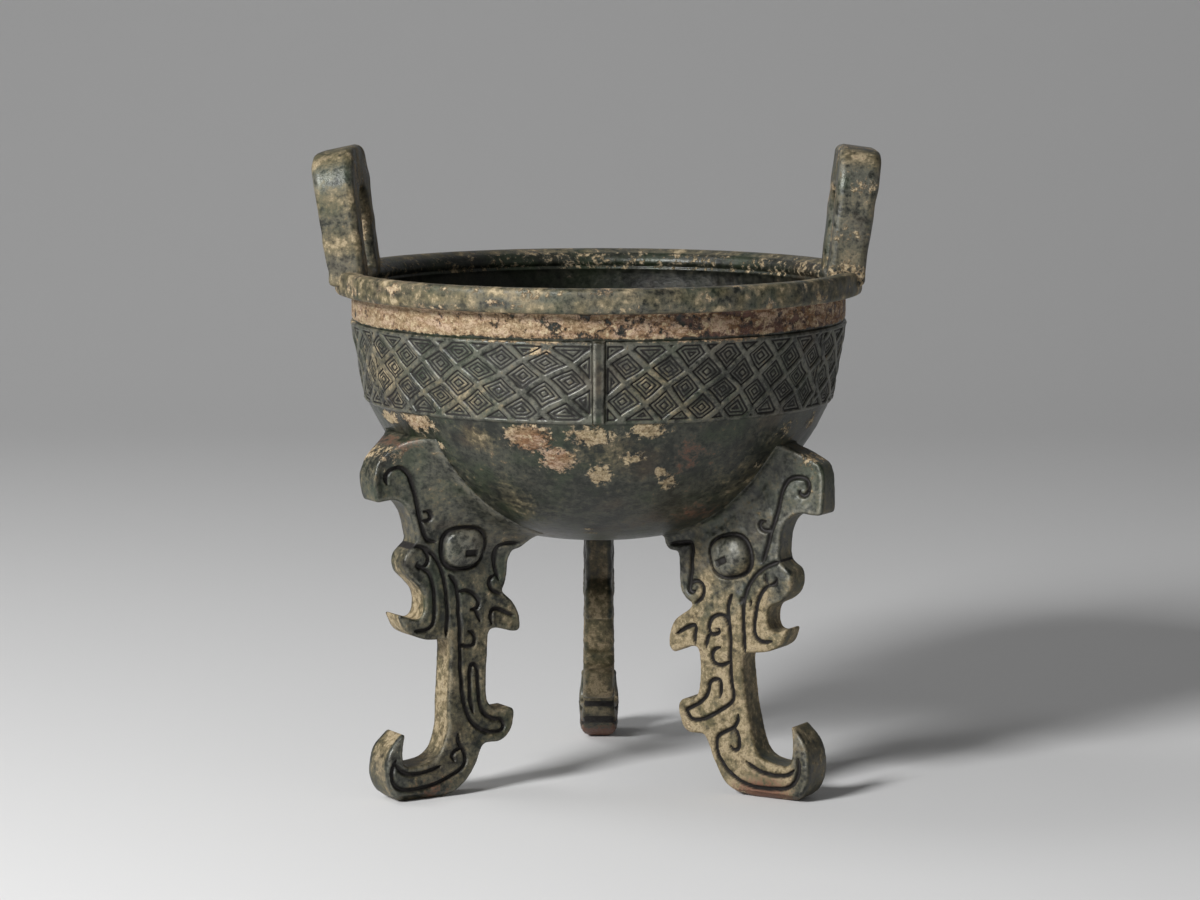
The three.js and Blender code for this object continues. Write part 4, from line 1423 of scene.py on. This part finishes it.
    def place(self, points: Array, side: Array) -> Array:
        """Stand the plate upright along its direction from the axis.

        The sole is flat under the middle and rises towards its two long edges, as the square of the way
        there.

        Args:
            points: Places, out and up.
            side: Distance to the side of the plate's middle.

        Returns:
            Places in space, in metres.
        """
        turn = math.radians(self.azimuth)
        r, z = points[:, 0], points[:, 1]
        x = r * math.cos(turn) - side * math.sin(turn)
        y = r * math.sin(turn) + side * math.cos(turn)
        past_flat = (np.abs(side) - self.sole_flat) / (self.half - self.sole_flat)
        floor = self.sole_rise * np.clip(past_flat, 0.0, 1.2) ** 2
        return np.column_stack([x, y, np.maximum(z, floor)]) * MM

    def skin(self) -> Skin:
        """Build the leg's closed surface and give its wall its own earth and light colour."""
        skin = Plate(self.outline(), [], self.step).skin(self.shape, self.place, rings=8)
        wall = skin.masks["wall"] > 0
        height = skin.points[:, 2] / MM
        body = 0.35 + 0.65 * smoothstep(84.0, 62.0, height)
        foot = 1.0 - 0.45 * smoothstep(20.0, 10.0, height)
        skin.masks["film"] = np.where(wall, self.coat.wall * body * foot, skin.masks["film"])
        # The walls get a little of the light burnished colour: part real rubbing, part painted highlight.
        skin.masks["wear"] = np.where(wall, 0.2, skin.masks["wear"])
        return skin


# ---------------------------------------------------------------- handles


@dataclass
class Handle:
    """A loop handle standing on the rim: an upright slab with a rounded top and an opening."""

    bowl: Bowl
    name: str
    azimuth: float
    turn: float
    lean: float
    slope: float
    seed: int
    earth: float
    width: float = 42.0
    top: float = 200.4
    foot: float = 157.5
    inner: float = 70.6
    depth: float = 11.6
    swell: float = 1.4
    opening_width: float = 20.0
    opening_top: float = 187.0
    shoulder: float = 14.0
    opening_shoulder: float = 8.0
    shoulder_power: float = 2.4
    shoulder_drop: float = 1.15
    rounding: float = 2.1
    step: float = 0.45

    def arch(self, width: float, bottom: float, top: float, round_: float) -> Array:
        """Draw an upright shape whose two shoulders are quarter superellipses, |x|^n + |y|^n = 1.

        Args:
            width: Width of the shape.
            bottom: Height of its foot.
            top: Height of its top.
            round_: Size of the shoulders.

        Returns:
            The outline's corners: across and up.
        """
        half = width / 2
        power = 2 / self.shoulder_power
        t = np.linspace(0.0, math.pi / 2, 24)
        across = half - round_ + round_ * np.cos(t) ** power
        up = top - round_ * self.shoulder_drop * (1 - np.sin(t) ** power)
        rise = np.column_stack([across, up])
        left = rise[::-1] * np.array([-1.0, 1.0])
        return np.vstack([[[half, bottom]], rise, left, [[-half, bottom]]])

    def shape(self, points: Array, depth: Array) -> tuple[Array, dict[str, Array]]:
        """Give the half thickness and masks of the slab at each corner.

        Args:
            points: Places, across and up.
            depth: Distance from the outline.

        Returns:
            Half thickness, and the masks.
        """
        edge = np.clip(1.0 - depth / self.rounding, 0.0, 1.0)
        half = self.depth / 2 - self.rounding * (1.0 - np.sqrt(1.0 - edge**2 * EDGE_DROP))
        half += 0.12 * waves(points, 10.0, self.seed) - 0.1
        masks = {
            "carve": np.zeros(len(points)),
            # The rounded edges get the light burnished colour: part real rubbing, part painted highlight.
            "wear": 0.75 * bump(depth - 1.2, 0.9),
            "film": self.earth + 0.20 * waves(points, 12.0, self.seed + 4),
            "crust": 0.26 + 0.22 * waves(points, 14.0, self.seed + 3),
            "warm": np.full(len(points), 0.2),
            "red": np.full(len(points), 0.05),
            "shade": np.zeros(len(points)),
        }
        return half, masks

    def place(self, points: Array, side: Array) -> Array:
        """Stand the slab on the rim: it leans out, thickens upward and its top slopes down outward.

        Args:
            points: Places, across and up.
            side: Distance outward from the slab's middle.

        Returns:
            Places in space, in metres.
        """
        across, height = points[:, 0], points[:, 1]
        deep = side + self.depth / 2
        above = np.maximum(0.0, height - self.bowl.rim_top)
        rise = above / (self.top - self.bowl.rim_top)
        out = self.inner + deep * (1 + self.swell / self.depth * rise) + self.lean * above
        up = height - self.slope * deep * rise
        middle = self.inner + self.depth / 2
        turn, azimuth = math.radians(self.turn), math.radians(self.azimuth)
        x = middle + (out - middle) * math.cos(turn) - across * math.sin(turn)
        y = (out - middle) * math.sin(turn) + across * math.cos(turn)
        east = x * math.cos(azimuth) - y * math.sin(azimuth)
        north = x * math.sin(azimuth) + y * math.cos(azimuth)
        return np.column_stack([east, north, up]) * MM

    def skin(self) -> Skin:
        """Build the handle's closed surface."""
        outer = softened(self.arch(self.width, self.foot, self.top, self.shoulder), 0.35, 4)
        sill = self.bowl.rim_top - 0.4
        hole = self.arch(self.opening_width, sill, self.opening_top, self.opening_shoulder)
        opening = softened(hole, 0.35, 4)
        skin = Plate(outer, [opening], self.step).skin(self.shape, self.place, rings=12)
        # The walls get some of the light burnished colour: part real rubbing, part painted highlight.
        skin.masks["wear"] = np.where(skin.masks["wall"] > 0, 0.3, skin.masks["wear"])
        return skin


# ---------------------------------------------------------------- the studio


@dataclass(frozen=True)
class Lamp:
    """A square soft light: where it hangs, what it points at, its width in metres and its power in watts."""

    name: str
    place: Point3
    aim: Point3
    size: float
    power: float

    def hang(self) -> None:
        """Hang the light and aim it."""
        lamp = bpy.data.lights.new(self.name, "AREA")
        lamp.size = self.size
        lamp.energy = self.power
        holder = bpy.data.objects.new(self.name, lamp)
        holder.location = self.place
        holder.rotation_euler = (Vector(self.aim) - Vector(self.place)).to_track_quat("-Z", "Y").to_euler()
        bpy.context.scene.collection.objects.link(holder)


@dataclass
class Studio:
    """Pale sweep, soft lights and the camera, in metres and degrees."""

    camera_distance: float = 1.2386
    camera_height: float = 0.2605
    camera_side: float = 0.0004
    pitch_down: float = 7.19
    lens: float = 119.0
    sensor: float = 36.0
    sweep_front: float = -4.0
    sweep_back: float = 0.9
    sweep_radius: float = 1.25
    sweep_top: float = 4.5
    sweep_half_width: float = 5.0
    paper: Colour = (0.72, 0.72, 0.72)
    room_light: float = 0.13
    lamps: tuple[Lamp, ...] = (
        Lamp("key", (-0.85, -0.98, 0.78), (0.0, 0.0, 0.08), 0.34, 26.0),
        Lamp("top", (-0.7, 0.1, 1.1), (0.0, -0.05, 0.12), 0.5, 2.6),
        Lamp("fill", (1.4, -1.5, 0.8), (0.0, 0.0, 0.1), 1.6, 1.2),
    )

    def sweep(self) -> None:
        """Lay the floor and bend it up into a backdrop, a profile along the depth swept sideways."""
        turn = np.linspace(0.0, math.pi / 2, 24)
        radius, back = self.sweep_radius, self.sweep_back
        y = np.concatenate([[self.sweep_front, 0.0], back + radius * np.sin(turn), [back + radius]])
        z = np.concatenate([[0.0, 0.0], radius * (1 - np.cos(turn)), [self.sweep_top]])
        x = np.array([-self.sweep_half_width, self.sweep_half_width])
        points = np.stack([np.repeat(x, len(y)), np.tile(y, 2), np.tile(z, 2)], axis=1)
        mesh = bpy.data.meshes.new("sweep")
        mesh.from_pydata(points.tolist(), [], grid_faces(2, len(y)).tolist())
        mesh.polygons.foreach_set("use_smooth", np.ones(len(mesh.polygons), dtype=bool))
        material = bpy.data.materials.new("paper")
        material.use_nodes = True
        shader = material.node_tree.nodes["Principled BSDF"]
        shader.inputs["Base Color"].default_value = (*self.paper, 1.0)
        shader.inputs["Roughness"].default_value = 0.9
        shader.inputs["Specular IOR Level"].default_value = 0.1
        mesh.materials.append(material)
        floor = bpy.data.objects.new("sweep", mesh)
        bpy.context.scene.collection.objects.link(floor)

    def camera(self) -> None:
        """Place the camera and make it the scene's."""
        lens = bpy.data.cameras.new("camera")
        lens.lens = self.lens
        lens.sensor_width = self.sensor
        lens.clip_end = 30.0
        holder = bpy.data.objects.new("camera", lens)
        holder.location = (self.camera_side, -self.camera_distance, self.camera_height)
        holder.rotation_euler = (math.radians(90.0 - self.pitch_down), 0.0, 0.0)
        bpy.context.scene.collection.objects.link(holder)
        bpy.context.scene.camera = holder

    def build(self) -> None:
        """Set up the whole studio."""
        self.sweep()
        for lamp in self.lamps:
            lamp.hang()
        world = bpy.data.worlds.new("room")
        world.use_nodes = True
        room = world.node_tree.nodes["Background"].inputs
        room["Color"].default_value = (1.0, 1.0, 1.0, 1.0)
        room["Strength"].default_value = self.room_light
        bpy.context.scene.world = world
        bpy.context.scene.view_settings.view_transform = "Standard"
        self.camera()


# ---------------------------------------------------------------- the vessel


@dataclass
class Vessel:
    """The whole ding."""

    bowl: Bowl = field(default_factory=Bowl)
    ribs: tuple[float, ...] = (-90.0, 30.0, 150.0)
    joints: tuple[float, ...] = (-154.4, -27.5, 90.0)
    rib_margin: float = 1.55
    joint_margin: float = 0.0
    lattice_after_joint: tuple[Point, Point, Point] = ((9.1, 134.9), (5.82, 4.38), (4.87, -5.72))
    lattice_after_rib: tuple[Point, Point, Point] = ((10.76, 132.7), (5.07, 4.9), (4.33, -6.0))

    def bands(self) -> list[Band]:
        """Divide the band into its six panels, each with the lattice its mould was cut with."""
        edges = [(azimuth, self.rib_margin) for azimuth in self.ribs]
        edges += [(azimuth, self.joint_margin) for azimuth in self.joints]
        edges.sort()
        edges.append((edges[0][0] + 360.0, edges[0][1]))
        made = []
        for number, ((start, before), (end, after)) in enumerate(zip(edges, edges[1:])):
            from_joint = start in self.joints
            anchor, rise, fall = self.lattice_after_joint if from_joint else self.lattice_after_rib
            origin = (start + anchor[0], anchor[1])
            name = f"band_{number}"
            made.append(Band(self.bowl, start + before, end - after, name, origin, rise, fall))
        return made

    def legs(self) -> list[Leg]:
        """Name the three legs."""
        left = LegCoat(0.14, 0.46, 0.36, 0.85, top=60.0)
        right = LegCoat(0.12, 0.84, 0.80, 0.62, top=66.0, red=0.9)
        back = LegCoat(0.10, 0.62, 0.45, 0.75, top=52.0, red=0.8, top_shade_and_patina=0.6)
        return [
            Leg(self.bowl, "leg_left", -150.0, LEFT_DRAWING, left, 21, 14.0),
            Leg(self.bowl, "leg_right", -30.0, RIGHT_DRAWING, right, 31, 3.0),
            Leg(self.bowl, "leg_back", 90.0, BACK_DRAWING, back, 41, 6.0),
        ]

    def handles(self) -> list[Handle]:
        """Name the two handles."""
        return [
            Handle(self.bowl, "handle_right", 0.0, 0.0, 0.105, 0.15, 51, 0.30),
            Handle(self.bowl, "handle_left", 180.0, -4.0, 0.118, 0.24, 61, 0.52),
        ]

    def build(self) -> None:
        """Make and dress every piece."""
        patina = Patina().group()
        bronze = Finish("bronze_skin").material(patina)
        lozenge = Finish("bronze_lozenges", relief=0.2, pattern=Pattern.NESTED)
        cut = lozenge.material(patina)
        make_piece("bowl", self.bowl.skin(), bronze)
        for band in self.bands():
            make_piece(band.name, band.skin(lozenge.line_pitch, lozenge.line_start), cut)
        for number, azimuth in enumerate(self.ribs):
            make_piece(f"rib_{number}", Rib(self.bowl, azimuth).skin(), bronze)
        for limb in [*self.legs(), *self.handles()]:
            make_piece(limb.name, limb.skin(), bronze)


def main() -> None:
    """Build the vessel and the studio, logging each piece's face count."""
    logging.basicConfig(level=logging.INFO, format="%(name)s %(message)s")
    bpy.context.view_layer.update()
    Vessel().build()
    Studio().build()


if __name__ == "__main__":
    main()
